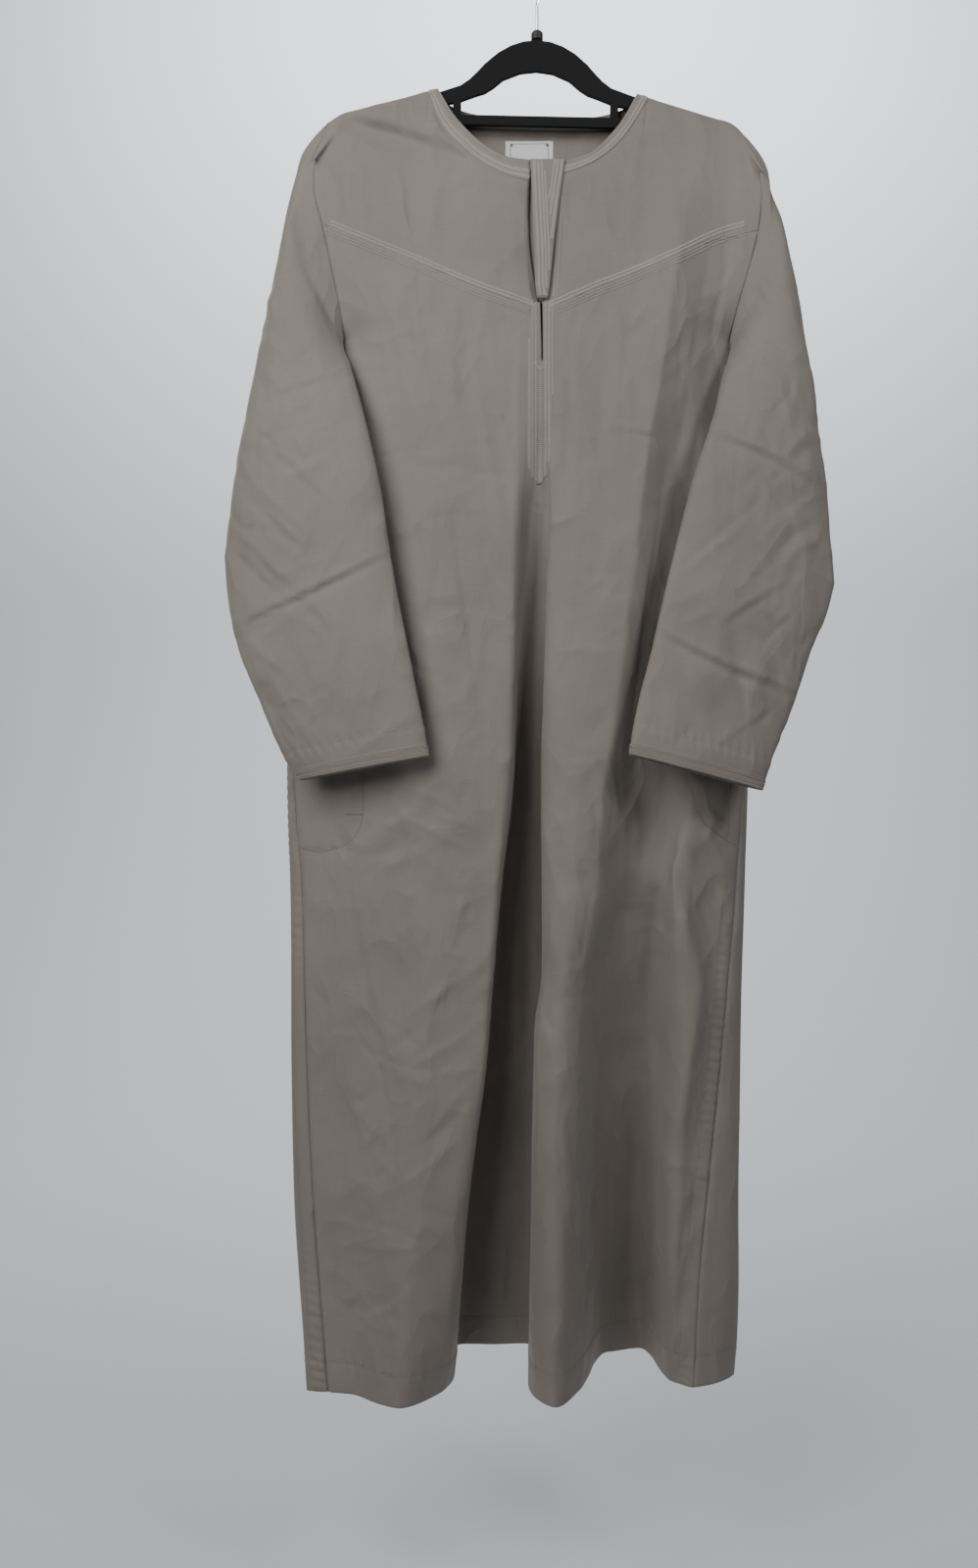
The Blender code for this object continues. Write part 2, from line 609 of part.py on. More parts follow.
def back_panel():
    """Outer face of the back, as points and normals."""
    places = column_places(BACK_STRIPS)
    lines = len(BACK_LINES)
    hem = curve_through(range(lines), BACK_HEM, places)
    steps = [(share - ARMHOLE_SHARES[2]) / (1 - ARMHOLE_SHARES[2]) for share in ARMHOLE_SHARES[3:]]
    grid, tops = [], []
    for c, place in enumerate(places):
        top, normal = edge_top(place, BACK_SHOULDER_X, BACK_NECK_ROW, 1)
        heights = [blend(top[2][2], ARMHOLE_FOOT, step) for step in steps]
        heights += [blend(SLIT_FOOT, hem[c], k / SKIRT_ROWS) for k in range(SKIRT_ROWS + 1)]
        column = list(top)
        for z in heights:
            share = ease(top[2][2], BACK[0][0], z)
            point = blend(top[2], back_point(place, z), share)
            column.append(np.array([point[0], point[1], z]))
        grid.append(column)
        tops.append(normal)
    for c, side in ((0, "right"), (-1, "left")):
        for r, share in enumerate(ARMHOLE_SHARES[1:], 1):
            grid[c][r] = armhole_point(side, share, 1)
    grid = np.swapaxes(np.array(grid), 0, 1)
    normals = normals_of(grid, False)
    normals[0] = tops
    close_side(grid, normals, 0, "right", 1)
    close_side(grid, normals, -1, "left", 1)
    return grid, normals


def sleeve_rings(side):
    """Rings of one sleeve, front half first, from the armhole down to the cuff."""
    inwards = 1 if side == "left" else -1
    angles = [2 * math.pi * k / SLEEVE_SIDES for k in range(SLEEVE_SIDES)]
    shares = [(1 - math.cos(angle)) / 2 for angle in angles]
    middle = SLEEVE_SIDES // 2
    signs = [0 if k % middle == 0 else (-1 if k < middle else 1) for k in range(SLEEVE_SIDES)]
    first = [armhole_point(side, share, sign or 1) for share, sign in zip(shares, signs)]
    first = np.array([(x - inwards * SEAM_GAP, y if sign else 0, z) for (x, y, z), sign in zip(first, signs)])
    free = []
    for ox, oy, oz, ix, iy, iz, half, bow, drawn in SLEEVE[side]:
        outer, inner = np.array([ox, oy, oz], float), np.array([ix, iy, iz], float)
        chord = inner - outer
        across = np.array([chord[1], -chord[0], 0.0]) * inwards
        across = across / np.linalg.norm(across)
        ring = []
        for angle, share in zip(angles, shares):
            bulge = math.copysign(abs(math.sin(angle)) ** SLEEVE_PINCH, math.sin(angle)) * half
            if bulge < 0:
                bulge *= 1 - DRAWN_MOST * drawn * ease(0.45, 0.85, share)
            point = outer + chord * share + across * bulge
            ring.append(point - (inwards * bow * math.sin(math.pi * share), 0, 0))
        free.append(ring)
    rings = [first]
    for along, stand in SLEEVE_HEAD:
        out = np.array([stand * (1 - share) ** 3 for share in shares])
        ring = blend(first, np.array(free[0]), along)
        ring[:, 0] -= inwards * out
        ring[:, 2] += out * 0.4
        rings.append(ring)
    return np.array(rings + free, float)


def sleeve_panel(side):
    """Outer face of a sleeve, as points and normals."""
    grid = sleeve_rings(side)
    normals = normals_of(grid, True) * (1 if side == "left" else -1)
    for _ in range(NORMAL_PASSES):
        spread = normals + (np.roll(normals, 1, axis=1) + np.roll(normals, -1, axis=1)) / 2
        spread[1:-1] += (normals[:-2] + normals[2:]) / 2
        normals = spread / np.linalg.norm(spread, axis=2, keepdims=True)
    for k in range(SLEEVE_SIDES):
        share = (1 - math.cos(2 * math.pi * k / SLEEVE_SIDES)) / 2
        if k % (SLEEVE_SIDES // 2) == 0:
            normals[0, k] = (0, 0, 1 - 2 * round(share))
        else:
            normals[0, k] = armhole_normal(side, share, -1 if k < SLEEVE_SIDES / 2 else 1)
    return grid, normals


def cuff_trim(side, finish):
    grid, normals = sleeve_panel(side)
    foot, above = grid[-1], grid[-2]
    spans = np.linalg.norm(above - foot, axis=1, keepdims=True)
    edge = blend(foot, above, 0.4 / spans)
    top = blend(foot, above, CUFF_TRIM_HEIGHT / spans)
    rows = np.array([top, blend(top, edge, 0.5), edge])
    lift = TRIM_CLEARANCE + TRIM_WALL
    same = np.array([normals[-1]] * 3)
    return shell("cuff_trim_" + side, rows, TRIM_WALL, finish, closed=True, lift=lift, normals=same)


def neck_rows():
    """The rows of NECK at which the yokes and the back have their columns, in order round the neck."""
    rows = set()
    for strips, neck in ((FRONT_STRIPS, FRONT_NECK_ROW), (BACK_STRIPS, BACK_NECK_ROW)):
        rows.update(neck.values())
        rows.update(neck_row(place, neck) for place in column_places(strips))
    return sorted(row for row in rows if row is not None)


def neck_band(finish):
    rows = neck_rows()
    free = np.array([neck_point(row, 0) for row in rows])
    sewn = np.array([neck_point(row, 1) for row in rows])
    grid = np.array([free, blend(free, sewn, 0.5), sewn])
    normals = np.array([[neck_normal(row) for row in rows]] * 3)
    return shell("neck_band", grid, WALL, finish, normals=normals)


def on_panel(panel, row, column):
    """Point and normal of a panel between its own rows and columns."""
    found = []
    for layer in panel:
        r, c = min(int(row), len(layer) - 2), min(int(column), layer.shape[1] - 2)
        upper = blend(layer[r, c], layer[r, c + 1], column - c)
        lower = blend(layer[r + 1, c], layer[r + 1, c + 1], column - c)
        found.append(blend(upper, lower, row - r))
    return found[0], found[1] / np.linalg.norm(found[1])


def lay(name, panel, wanted, wall, finish, lift, skip=None):
    """A piece that lies on a panel, or behind it with a negative lift, at these rows and columns of the panel."""
    laid = [[on_panel(panel, row, column) for row, column in line] for line in wanted]
    grid = np.array([[point for point, _ in line] for line in laid])
    normals = np.array([[normal for _, normal in line] for line in laid])
    return shell(name, grid, wall, finish, lift=lift, skip=skip, normals=normals)


def v_trim(side, yoke, front, finish):
    start, end = V_TRIM_ENDS[side]
    places = list(column_places(FRONT_STRIPS))
    first = 0 if side == "left" else places.index(OPENING[1])
    grid, normals = [[], [], []], [[], [], []]
    for column, place in enumerate(places):
        if not start < place < end:
            continue
        seam = yoke[0][-1, column - first], yoke[1][-1, column - first]
        rise = yoke[0][-2, column - first] - seam[0]
        below = on_panel(front, 0, column)
        drop = np.interp(V_TRIM_BELOW, front[0][0, column, 2] - front[0][:6, column, 2], range(6))
        grid[0].append(seam[0] + rise * V_TRIM_ABOVE / np.linalg.norm(rise))
        grid[1].append((seam[0] + below[0]) / 2)
        foot, normal = on_panel(front, float(drop), column)
        grid[2].append(foot)
        for line, direction in zip(normals, (seam[1], seam[1] + below[1], normal)):
            line.append(direction / np.linalg.norm(direction))
    lift = TRIM_CLEARANCE + TRIM_WALL
    return shell("yoke_trim_" + side, grid, TRIM_WALL, finish, lift=lift, normals=np.array(normals))


def strip_edges(table, z):
    tops = [-row[0] for row in table]
    return [float(np.interp(-z, tops, [row[part] for row in table])) for part in (1, 2)]


def panel_row(panel, column, z):
    return float(np.interp(-z, -panel[0][:, column, 2], range(len(panel[0]))))


def panel_column(panel, row, x, first, last):
    """The column between first and last at which a row of the panel has this x."""
    found = [on_panel(panel, row, column)[0][0] for column in range(first, last + 1)]
    places = np.arange(first, last + 1)
    if found[0] > found[-1]:
        found, places = found[::-1], places[::-1]
    return float(np.interp(x, found, places))


def placket_tab(finish):
    rows = []
    for z in np.linspace(TAB[0][0], TAB[-1][0], 11):
        left, right = strip_edges(TAB, z)
        y = float(np.interp(-z, [row[0] for row in TAB_DEPTH], [row[1] for row in TAB_DEPTH]))
        rows.append([(blend(left, right, share), y, z) for share in np.linspace(0, 1, 6)])
    return shell("placket_tab", rows, TAB_WALL, finish)


def placket_panel(front, finish):
    places = list(column_places(FRONT_STRIPS))
    slit_left, slit_right = places.index(OPENING[0]), places.index(OPENING[1])
    slit_row = panel_row(front, slit_left, SLIT_FOOT)
    tip_rows = [panel_row(front, slit_left, row[0]) for row in PLACKET[-3:]]
    rows = [0.3, 3, 5, 5.5, slit_row, slit_row + 0.5, slit_row + 1, slit_row + 1.4, *tip_rows]
    wanted = []
    for row in rows:
        edges = strip_edges(PLACKET, on_panel(front, row, slit_left)[0][2])
        left = panel_column(front, row, edges[0], slit_left - 3, slit_left + 2)
        right = panel_column(front, row, edges[1], slit_left, slit_right + 4)
        middle = range(slit_left, slit_right + 1)
        columns = [left, blend(left, slit_left, 0.5), *middle, blend(slit_right, right, 0.5), right]
        if left > slit_left - 0.2 or right < slit_right + 0.2:
            columns = np.linspace(left, right, len(columns))
        wanted.append([(row, column) for column in columns])
    strips = slit_right - slit_left
    return lay("placket_panel", front, wanted, TRIM_WALL, finish, PLACKET_CLEARANCE + TRIM_WALL,
               skip=lambda r, c: 2 <= c < 2 + strips and rows[r + 1] <= slit_row)


def pocket(side, front, finish):
    inner_x, top, foot, clearance = POCKETS[side]
    last = front[0].shape[1] - 1
    seam, reach = (0, 11) if side == "left" else (last, last - 11)
    inwards = 1 if side == "left" else -1
    top_row, foot_row = (panel_row(front, seam, z) for z in (top, foot))
    whole_rows = range(math.ceil(top_row), math.floor(foot_row) + 1)
    rows = [top_row, *whole_rows, *np.linspace(foot_row - 0.3, foot_row, 4)]
    wanted = []
    for row in rows:
        rise = on_panel(front, row, seam)[0][2] - foot
        short = max(POCKET_CORNER - rise, 0.0)
        x = inner_x - inwards * (POCKET_CORNER - math.sqrt(max(POCKET_CORNER**2 - short**2, 0.0)))
        inner = panel_column(front, row, x, min(seam, reach), max(seam, reach))
        wanted.append([(row, blend(seam + inwards * 0.3, inner, share)) for share in np.linspace(0, 1, 7)])
    return lay("pocket_" + side, front, wanted, POCKET_WALL, finish, -(WALL + clearance))


def neck_label(back, finish):
    last = back[0].shape[1] - 1
    wanted = []
    for z in np.linspace(LABEL["top"], LABEL["foot"], 4):
        row = panel_row(back, last // 2, z)
        ends = [panel_column(back, row, LABEL[end], 8, last - 8) for end in ("left", "right")]
        wanted.append([(row, column) for column in np.linspace(*ends, 7)])
    return lay("neck_label", back, wanted, LABEL["wall"], finish, -(WALL + TRIM_CLEARANCE))


def hanger_outline():
    """Half outline of the hanger plate, from the apex out and back along the bar: x, z."""
    return (
        (0, -95.0),
        (15, -96.6),
        (29, -101.4),
        (43, -109.5),
        (57, -121.5),
        (66, -131.5),
        (74, -139.5),
        (84, -146.8),
        (96, -151.0),
        (108, -155.2),
        (160, -169.8),
        (207, -182.6),
        (212.5, -185.0),
        (214.5, -188.0),
        (212.5, -190.4),
        (207, -191.0),
        (120, -191.0),
    )


def hanger_window():
    """Half outline of the window between the arch and the bar."""
    return (
        (0, -130.0),
        (18, -132.2),
        (36.5, -139.9),
        (48, -149.6),
        (57, -155.2),
        (70, -159.6),
        (83, -164.6),
        (83, -179.5),
    )


def hanger_gap():
    """Outline of the slim gap between an arm and the bar."""
    return ((92, -167.0), (100, -168.4), (128, -176.2), (138, -179.5), (92, -179.5))


def hanger_body(finish):
    curve = bpy.data.curves.new("hanger_body", "CURVE")
    curve.dimensions = "2D"
    curve.fill_mode = "BOTH"
    curve.extrude = (PLATE_THICKNESS / 2 - PLATE_EDGE) * MM
    curve.bevel_depth = PLATE_EDGE * MM
    curve.bevel_resolution = 1
    curve.offset = -PLATE_EDGE * MM
    loops = []
    for half in (hanger_outline(), hanger_window()):
        loops.append(list(half) + [(-x, z) for x, z in reversed(half) if x > 0])
    gap = hanger_gap()
    loops += [list(gap), [(-x, z) for x, z in reversed(gap)]]
    for loop in loops:
        spline = curve.splines.new("POLY")
        spline.points.add(len(loop) - 1)
        spline.use_cyclic_u = True
        for point, (x, z) in zip(spline.points, loop):
            point.co = (x * MM, (z - ARCH_TOP) * MM, 0, 1)
    curve.materials.append(finish)
    made = bpy.data.objects.new("hanger_body", curve)
    made.location = (0, 0, ARCH_TOP * MM)
    made.rotation_euler = (math.radians(90), PLATE_TILT, 0)
    bpy.context.scene.collection.objects.link(made)
    return made


def turned(name, profile, sides, finish):
    """A turned piece about the Z axis, from a closed half profile of radius and z."""
    mesh = bmesh.new()
    rings = []
    for k in range(sides):
        angle = 2 * math.pi * k / sides
        turn = Vector((math.cos(angle), math.sin(angle), 0))
        rings.append([mesh.verts.new((turn * r + Vector((0, 0, z))) * MM) for r, z in profile])
    for k in range(sides):
        here, there = rings[k], rings[(k + 1) % sides]
        for i in range(len(profile) - 1):
            mesh.faces.new((here[i], there[i], there[i + 1], here[i + 1]))
    mesh.faces.new([ring[0] for ring in rings])
    mesh.faces.new([ring[-1] for ring in rings])
    bmesh.ops.recalc_face_normals(mesh, faces=mesh.faces)
    data = bpy.data.meshes.new(name)
    mesh.to_mesh(data)
    mesh.free()
    data.materials.append(finish)
    data.shade_smooth()
    data.set_sharp_from_angle(angle=math.radians(40))
    made = bpy.data.objects.new(name, data)
    bpy.context.scene.collection.objects.link(made)
    return made


def hook_path():
    """Centre line of the wire: a straight stem, a short bend, then the round hook."""
    radius = HOOK_INNER_RADIUS + WIRE_RADIUS
    centre = -HOOK_INNER_RADIUS
    start, end = math.radians(-48), math.radians(208)
    joins = np.array([radius * math.cos(start), centre + radius * math.sin(start)])
    heading = np.array([-math.sin(start), math.cos(start)])
    foot = np.array([0.0, -56.0])
    points = [(0.0, z) for z in np.linspace(PLUG_TOP + SEAM_GAP, foot[1], 6)]
    for share in np.linspace(0, 1, 9)[1:]:
        a, b = foot + (0, 9.0), joins - heading * 9.0
        keep = 1 - share
        point = keep**3 * foot + 3 * keep**2 * share * a + 3 * keep * share**2 * b + share**3 * joins
        points.append(tuple(point))
    for angle in np.linspace(start, end, 34)[1:]:
        points.append((radius * math.cos(angle), centre + radius * math.sin(angle)))
    return points


def wire_hook(finish):
    curve = bpy.data.curves.new("wire_hook", "CURVE")
    curve.dimensions = "3D"
    curve.bevel_depth = WIRE_RADIUS * MM
    curve.bevel_resolution = 2
    curve.use_fill_caps = True
    spline = curve.splines.new("POLY")
    points = hook_path()
    spline.points.add(len(points) - 1)
    for point, (x, z) in zip(spline.points, points):
        point.co = (x * MM, 0, z * MM, 1)
    spline.use_smooth = True
    curve.materials.append(finish)
    made = bpy.data.objects.new("wire_hook", curve)
    bpy.context.scene.collection.objects.link(made)
    return made


clear_scene()
CLOTH = material("taupe_cloth", (0.22, 0.2, 0.175), 0.62)
THREAD = material("embroidery_thread", (0.29, 0.265, 0.24), 0.55)
WHITE = material("label_cloth", (0.72, 0.71, 0.68), 0.7)
FLOCK = material("black_flock", (0.006, 0.006, 0.006), 0.95)
CHROME = material("chrome_wire", (0.6, 0.6, 0.6), 0.15, metallic=1.0)

FRONT_PANEL = front_panel()
BACK_PANEL = back_panel()
for side in ("left", "right"):
    yoke = yoke_panel(side)
    sleeve_grid, sleeve_normals = sleeve_panel(side)
    shell("front_yoke_" + side, yoke[0], WALL, CLOTH, normals=yoke[1])
    shell("sleeve_" + side, sleeve_grid, WALL, CLOTH, closed=True, normals=sleeve_normals)
    cuff_trim(side, THREAD)
    v_trim(side, yoke, FRONT_PANEL, THREAD)
    pocket(side, FRONT_PANEL, CLOTH)
front_body(FRONT_PANEL, CLOTH)
shell("back_body", BACK_PANEL[0], WALL, CLOTH, normals=BACK_PANEL[1])
neck_band(THREAD)
placket_tab(THREAD)
placket_panel(FRONT_PANEL, THREAD)
neck_label(BACK_PANEL, WHITE)
hanger_body(FLOCK)
turned("hanger_plug", ((PLUG_RADIUS, -94.4), (PLUG_RADIUS, -87.0), (PLUG_RADIUS - 1.6, PLUG_TOP)), 20, FLOCK)
wire_hook(CHROME)
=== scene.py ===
"""A collarless thobe robe on a flocked hanger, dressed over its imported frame.

Lengths in the tables are millimetres in the frame's own axes: +X to the viewer's right, -Y to the front and
+Z up. Creases and stitch lines on the front are placed in the camera's picture, 998 wide and 1600 high, and
lie on the cloth that they meet there.
"""

import math

import bpy
import numpy as np
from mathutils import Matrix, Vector
from mathutils.bvhtree import BVHTree

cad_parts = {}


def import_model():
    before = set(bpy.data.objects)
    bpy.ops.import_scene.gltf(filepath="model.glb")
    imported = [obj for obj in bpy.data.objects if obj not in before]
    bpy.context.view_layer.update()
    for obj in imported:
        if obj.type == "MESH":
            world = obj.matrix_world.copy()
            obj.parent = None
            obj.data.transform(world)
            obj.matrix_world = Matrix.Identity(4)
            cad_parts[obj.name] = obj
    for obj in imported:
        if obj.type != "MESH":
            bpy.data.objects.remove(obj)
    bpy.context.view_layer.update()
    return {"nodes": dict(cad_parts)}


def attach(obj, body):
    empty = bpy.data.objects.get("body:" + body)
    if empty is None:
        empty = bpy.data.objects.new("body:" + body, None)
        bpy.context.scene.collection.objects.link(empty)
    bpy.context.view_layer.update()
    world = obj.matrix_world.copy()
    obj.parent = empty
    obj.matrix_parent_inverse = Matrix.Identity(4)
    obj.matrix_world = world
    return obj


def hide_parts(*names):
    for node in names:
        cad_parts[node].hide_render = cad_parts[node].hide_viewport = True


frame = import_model()

MM = 0.001

# Camera, looking along +Y: its place, its focal length in picture pixels and the picture's middle
EYE = (-53.5, -1480.0, -923.0)
FOCAL = 1355.0
MIDDLE = (499.0, 800.0)

# The armhole is a tall lens. Share 0 is its top at the shoulder tip and share 1 its foot under the arm.
ARMHOLE_TOP = {"left": -186.0, "right": -202.0}
ARMHOLE_FOOT = -427.0
# share, then x of its back half and of its front half on the left, the same on the right, and its half depth
ARMHOLE = (
    (0.00, -233, -233, 233, 233, 0.2),
    (0.05, -236, -235, 236, 236, 7),
    (0.15, -243, -243, 241, 243, 14),
    (0.30, -247, -246.5, 244, 247, 18),
    (0.50, -245, -237, 244, 243, 19),
    (0.70, -239, -227, 238, 231.5, 18),
    (0.85, -231, -219.5, 231, 222, 13),
    (0.95, -222, -216, 222, 217, 6),
    (1.00, -215, -215, 215, 215, 0.2),
)
SLEEVE_SIDES = 20
# Shares at which the armhole has its points, on the panels and on the sleeve alike
ARMHOLE_SHARES = [(1 - math.cos(2 * math.pi * k / SLEEVE_SIDES)) / 2 for k in range(SLEEVE_SIDES // 2 + 1)]
# Top edge of the shoulders, over the hanger's arms: x, z
SHOULDER = (
    (-233, -186),
    (-215, -175.4),
    (-203, -173.4),
    (-136.5, -155.1),
    (-110, -148.6),
    (109, -154.0),
    (123.4, -158.4),
    (187, -178.1),
    (217.5, -187.0),
    (233, -202),
)
FOLD_DROP = 4.6
FOLD_DEPTH = 4.6
# Neck opening, from the left end of the band under the tab, round the back, to the right end.
# x, y, z of the band's free edge, then of the edge sewn to the robe
NECK = (
    (-8, -23, -238, -9, -28, -262.5),
    (-32, -22, -234.4, -30, -27, -257.5),
    (-49, -20, -226, -56.7, -24, -244),
    (-67.5, -17, -211.5, -83.7, -18, -220.6),
    (-93, -10.5, -181, -106.5, -11, -192),
    (-106.5, -6.4, -157, -118, -7.2, -163),
    (-109.2, -4.9, -152.4, -120.6, -5.0, -155.6),
    (-110, 0, -148.6, -121.3, 0, -151.4),
    (-109, 4.9, -152.4, -120.4, 5.0, -155.6),
    (-104, 7, -159, -115, 8.2, -168),
    (-84, 9.5, -168.5, -91, 11, -183.5),
    (-58, 11.3, -173.6, -62, 12.8, -189.5),
    (-30, 12.2, -176.6, -30, 14, -193),
    (0, 12.5, -178, 0, 14.3, -194.6),
    (30, 12.2, -177.4, 30, 14, -194),
    (58, 11.3, -175.6, 62, 12.8, -191.5),
    (84, 9.5, -171.5, 92, 11, -187),
    (104, 7, -164, 116, 8.2, -172.5),
    (110.2, 4.9, -157.6, 122.2, 5.0, -162.6),
    (111, 0, -154.6, 123.3, 0, -158.4),
    (110.2, -4.9, -157.6, 122.4, -5.0, -162.6),
    (107.2, -6.4, -163, 119.6, -7.2, -169),
    (96, -10.5, -184.5, 108.5, -11, -189),
    (79.3, -17, -208.2, 87.8, -18, -218.4),
    (57, -20.8, -229, 58.3, -24.5, -242.5),
    (29.3, -23, -238, 31, -27.4, -254),
    (8, -23.5, -238.5, 7, -28, -259),
)
# V seam between the yokes and the front body: x, z
V_SEAM = (
    (-237, -306.5),
    (-228, -311.5),
    (-173, -337.5),
    (-125, -359.3),
    (-78, -381),
    (-25, -401.2),
    (0, -404),
    (28, -403.3),
    (65, -385.6),
    (104, -369),
    (153, -346),
    (201, -322),
    (228, -317),
    (243, -314.5),
)
# Front fold lines, from the left side seam to the right one, and how many strips lie between each two
FRONT_LINES = (
    "seam_left",
    "flank_left",
    "middle_left",
    "crest_left",
    "edge_left",
    "floor_left",
    "floor_right",
    "edge_right",
    "crest_right",
    "flank_right",
    "dip_left",
    "dip_right",
    "ridge_right",
    "seam_right",
)
FRONT_STRIPS = (3, 3, 4, 4, 2, 2, 2, 4, 4, 3, 3, 3, 3)
OPENING = (FRONT_LINES.index("floor_left"), FRONT_LINES.index("floor_right"))
# Where each line starts: x on the shoulder edge, or its row of NECK
FRONT_SHOULDER_X = {0: -233, 1: -180, 2: -121.3, 9: 123.3, 10: 155, 11: 187, 12: 214, 13: 233}
FRONT_NECK_ROW = {2: 7, 3: 3, 4: 1, 5: 0, 6: 26, 7: 25, 8: 23, 9: 19}
# z, then x and y of each line, in the order of FRONT_LINES
FRONT = (
    (-303, -237.5, -19, -190, -27, -146, -34, -84, -40, -21, -43, 0, -43, 3.2, -43, 18, -43, 64, -41, 107,
     -37, 140, -33, 167, -30, 200, -25, 244, -19),
    (-345, -229, -18, -189, -27, -145, -35, -83, -42, -21, -45, 0.4, -44.6, 3.8, -44.6, 18, -45, 64, -44,
     107, -39, 140, -35, 167, -31, 198, -26, 236, -18),
    (-395, -218.5, -12, -188, -26, -144, -36, -82, -44, -21, -47, 1, -46, 4.6, -46, 18, -47, 65, -46, 108,
     -41, 141, -36, 168, -32, 195, -25, 221.5, -12),
    (-427, -215, 0, -187, -20, -144, -36, -82, -45, -21, -48, 1.6, -46.5, 5.4, -46.5, 18, -48, 66, -48, 109,
     -43, 141, -37, 168, -32, 194, -20, 215, 0),
    (-470, -231, -3, -196, -19, -148, -38, -83, -48, -22, -50, 2, -47, 6, -47, 17, -49, 63, -51, 109, -45,
     142, -38, 169, -33, 197, -19, 226, -3),
    (-595, -258, -5, -211, -28, -156, -43, -86, -54, -24, -54, -4, -45, 8, -45, 14, -52, 58, -57, 111, -50,
     144, -42, 173, -36, 205, -26, 234, -6),
    (-753, -270, -7, -224, -29, -164, -46, -100, -60, -30, -60, -17, -34, 1, -34, 3, -54, 47, -64, 95, -56,
     130, -42, 166, -36, 197, -28, 231, -9),
    (-902, -270, -10, -218, -32, -158, -50, -96, -66, -35, -64, -26, -16, -3, -16, -3, -54, 37, -68, 76, -57,
     116, -38, 150, -34, 185, -32, 228, -11),
    (-1040, -260, -16, -210, -34, -158, -52, -105, -68, -47, -64, -40, 0, -3, 0, -1, -54, 30, -70, 55, -58,
     103, -26, 128, -24, 147, -44, 220, -13),
    (-1201, -255, -21, -212, -38, -163, -56, -115, -70, -57, -62, -52, 14, -2, 14, -3, -50, 19, -72, 41, -56,
     87, -4, 117, -2, 160, -40, 205, -16),
    (-1362, -247, -29, -210, -42, -168, -60, -130, -74, -76, -56, -74, 28, -3, 28, -7, -46, 17, -74, 40, -52,
     80, 18, 113, 18, 155, -34, 188, -21),
    (-1493, -236, -37, -205, -45, -169, -64, -139, -77, -87, -44, -88, 38, -5, 38, -9, -38, 17, -76, 43, -44,
     77, 32, 115, 34, 148, -26, 175, -27),
    (-1583, -228, -41, -201, -46, -170, -69, -146, -78, -95, -18, -91, 45, -5, 45, -10, -32, 17, -76, 46, -35,
     79, 42, 122, 44, 144, -14, 169, -31),
)
FRONT_HEM = (-1582, -1582, -1582, -1582, -1580, -1566, -1566, -1581, -1582, -1581, -1574, -1570, -1580, -1582)
# Back fold lines, from the right side seam round the back to the left one
BACK_LINES = (
    "seam_right",
    "side_right",
    "fold_right",
    "hollow_right",
    "fold_middle_right",
    "hollow_middle",
    "fold_middle_left",
    "hollow_left",
    "fold_left",
    "side_left",
    "seam_left",
)
BACK_STRIPS = (2, 3, 4, 4, 4, 4, 4, 4, 3, 2)
BACK_SHOULDER_X = {0: 233, 1: 226, 2: 178, 3: 123.3, 7: -121.3, 8: -178, 9: -226, 10: -233}
BACK_NECK_ROW = {3: 19, 4: 15, 5: 13, 6: 11, 7: 7}
# z, then x and y of each line but the seams, which the front gives
BACK = (
    (-250, 236, 21, 182, 25, 123, 25, 62, 24, 0, 23, -62, 24, -123, 25, -182, 25, -238, 22),
    (-345, 235, 25, 180, 33, 124, 35, 62, 35, 0, 34, -62, 35, -124, 35, -180, 33, -236, 25),
    (-395, 215, 21, 180, 34, 125, 39, 62, 41, 0, 39, -62, 41, -125, 39, -180, 34, -215, 21),
    (-427, 211, 12, 184, 33, 126, 40, 63, 44, 0, 41, -62, 44, -126, 40, -184, 33, -211, 12),
    (-470, 232, 2, 190, 33, 126, 42, 64, 48, 0, 44, -62, 48, -128, 42, -190, 33, -238, 2),
    (-595, 240, 2, 196, 38, 126, 44, 66, 54, 0, 47, -64, 54, -132, 44, -206, 37, -265, 2),
    (-753, 238, 1, 196, 44, 127, 47, 68, 62, -2, 50, -68, 62, -136, 48, -212, 42, -276, 0),
    (-902, 236, 0, 194, 52, 127, 52, 70, 70, -4, 54, -72, 70, -138, 53, -214, 50, -278, -2),
    (-1040, 231, 0, 192, 62, 128, 58, 71, 79, -6, 60, -76, 79, -140, 59, -214, 58, -274, -7),
    (-1201, 227, 0, 190, 72, 128, 63, 72, 90, -8, 66, -80, 90, -142, 66, -212, 68, -272, -12),
    (-1362, 225, 0, 188, 82, 129, 68, 73, 99, -10, 70, -84, 99, -143, 71, -210, 78, -268, -19),
    (-1493, 224, 0, 187, 88, 129, 70, 74, 104, -12, 72, -86, 104, -144, 73, -208, 84, -259, -27),
    (-1583, 219, 1, 186, 92, 129, 72, 74, 107, -13, 74, -88, 107, -144, 75, -206, 88, -251, -37),
)
BACK_HEM = (-1582, -1582, -1580, -1573, -1580, -1573, -1580, -1573, -1580, -1582, -1582)
# Rows of mesh between the foot of the slit and the hem, on the front and on the back
SKIRT_ROWS = 18
YOKE_BOW = {"left": -5.0, "right": 3.0}
# Rings between the armhole and the first of SLEEVE: how far along, and how far the sleeve head stands out
SLEEVE_HEAD = ((0.12, 2), (0.35, 5), (0.65, 6))
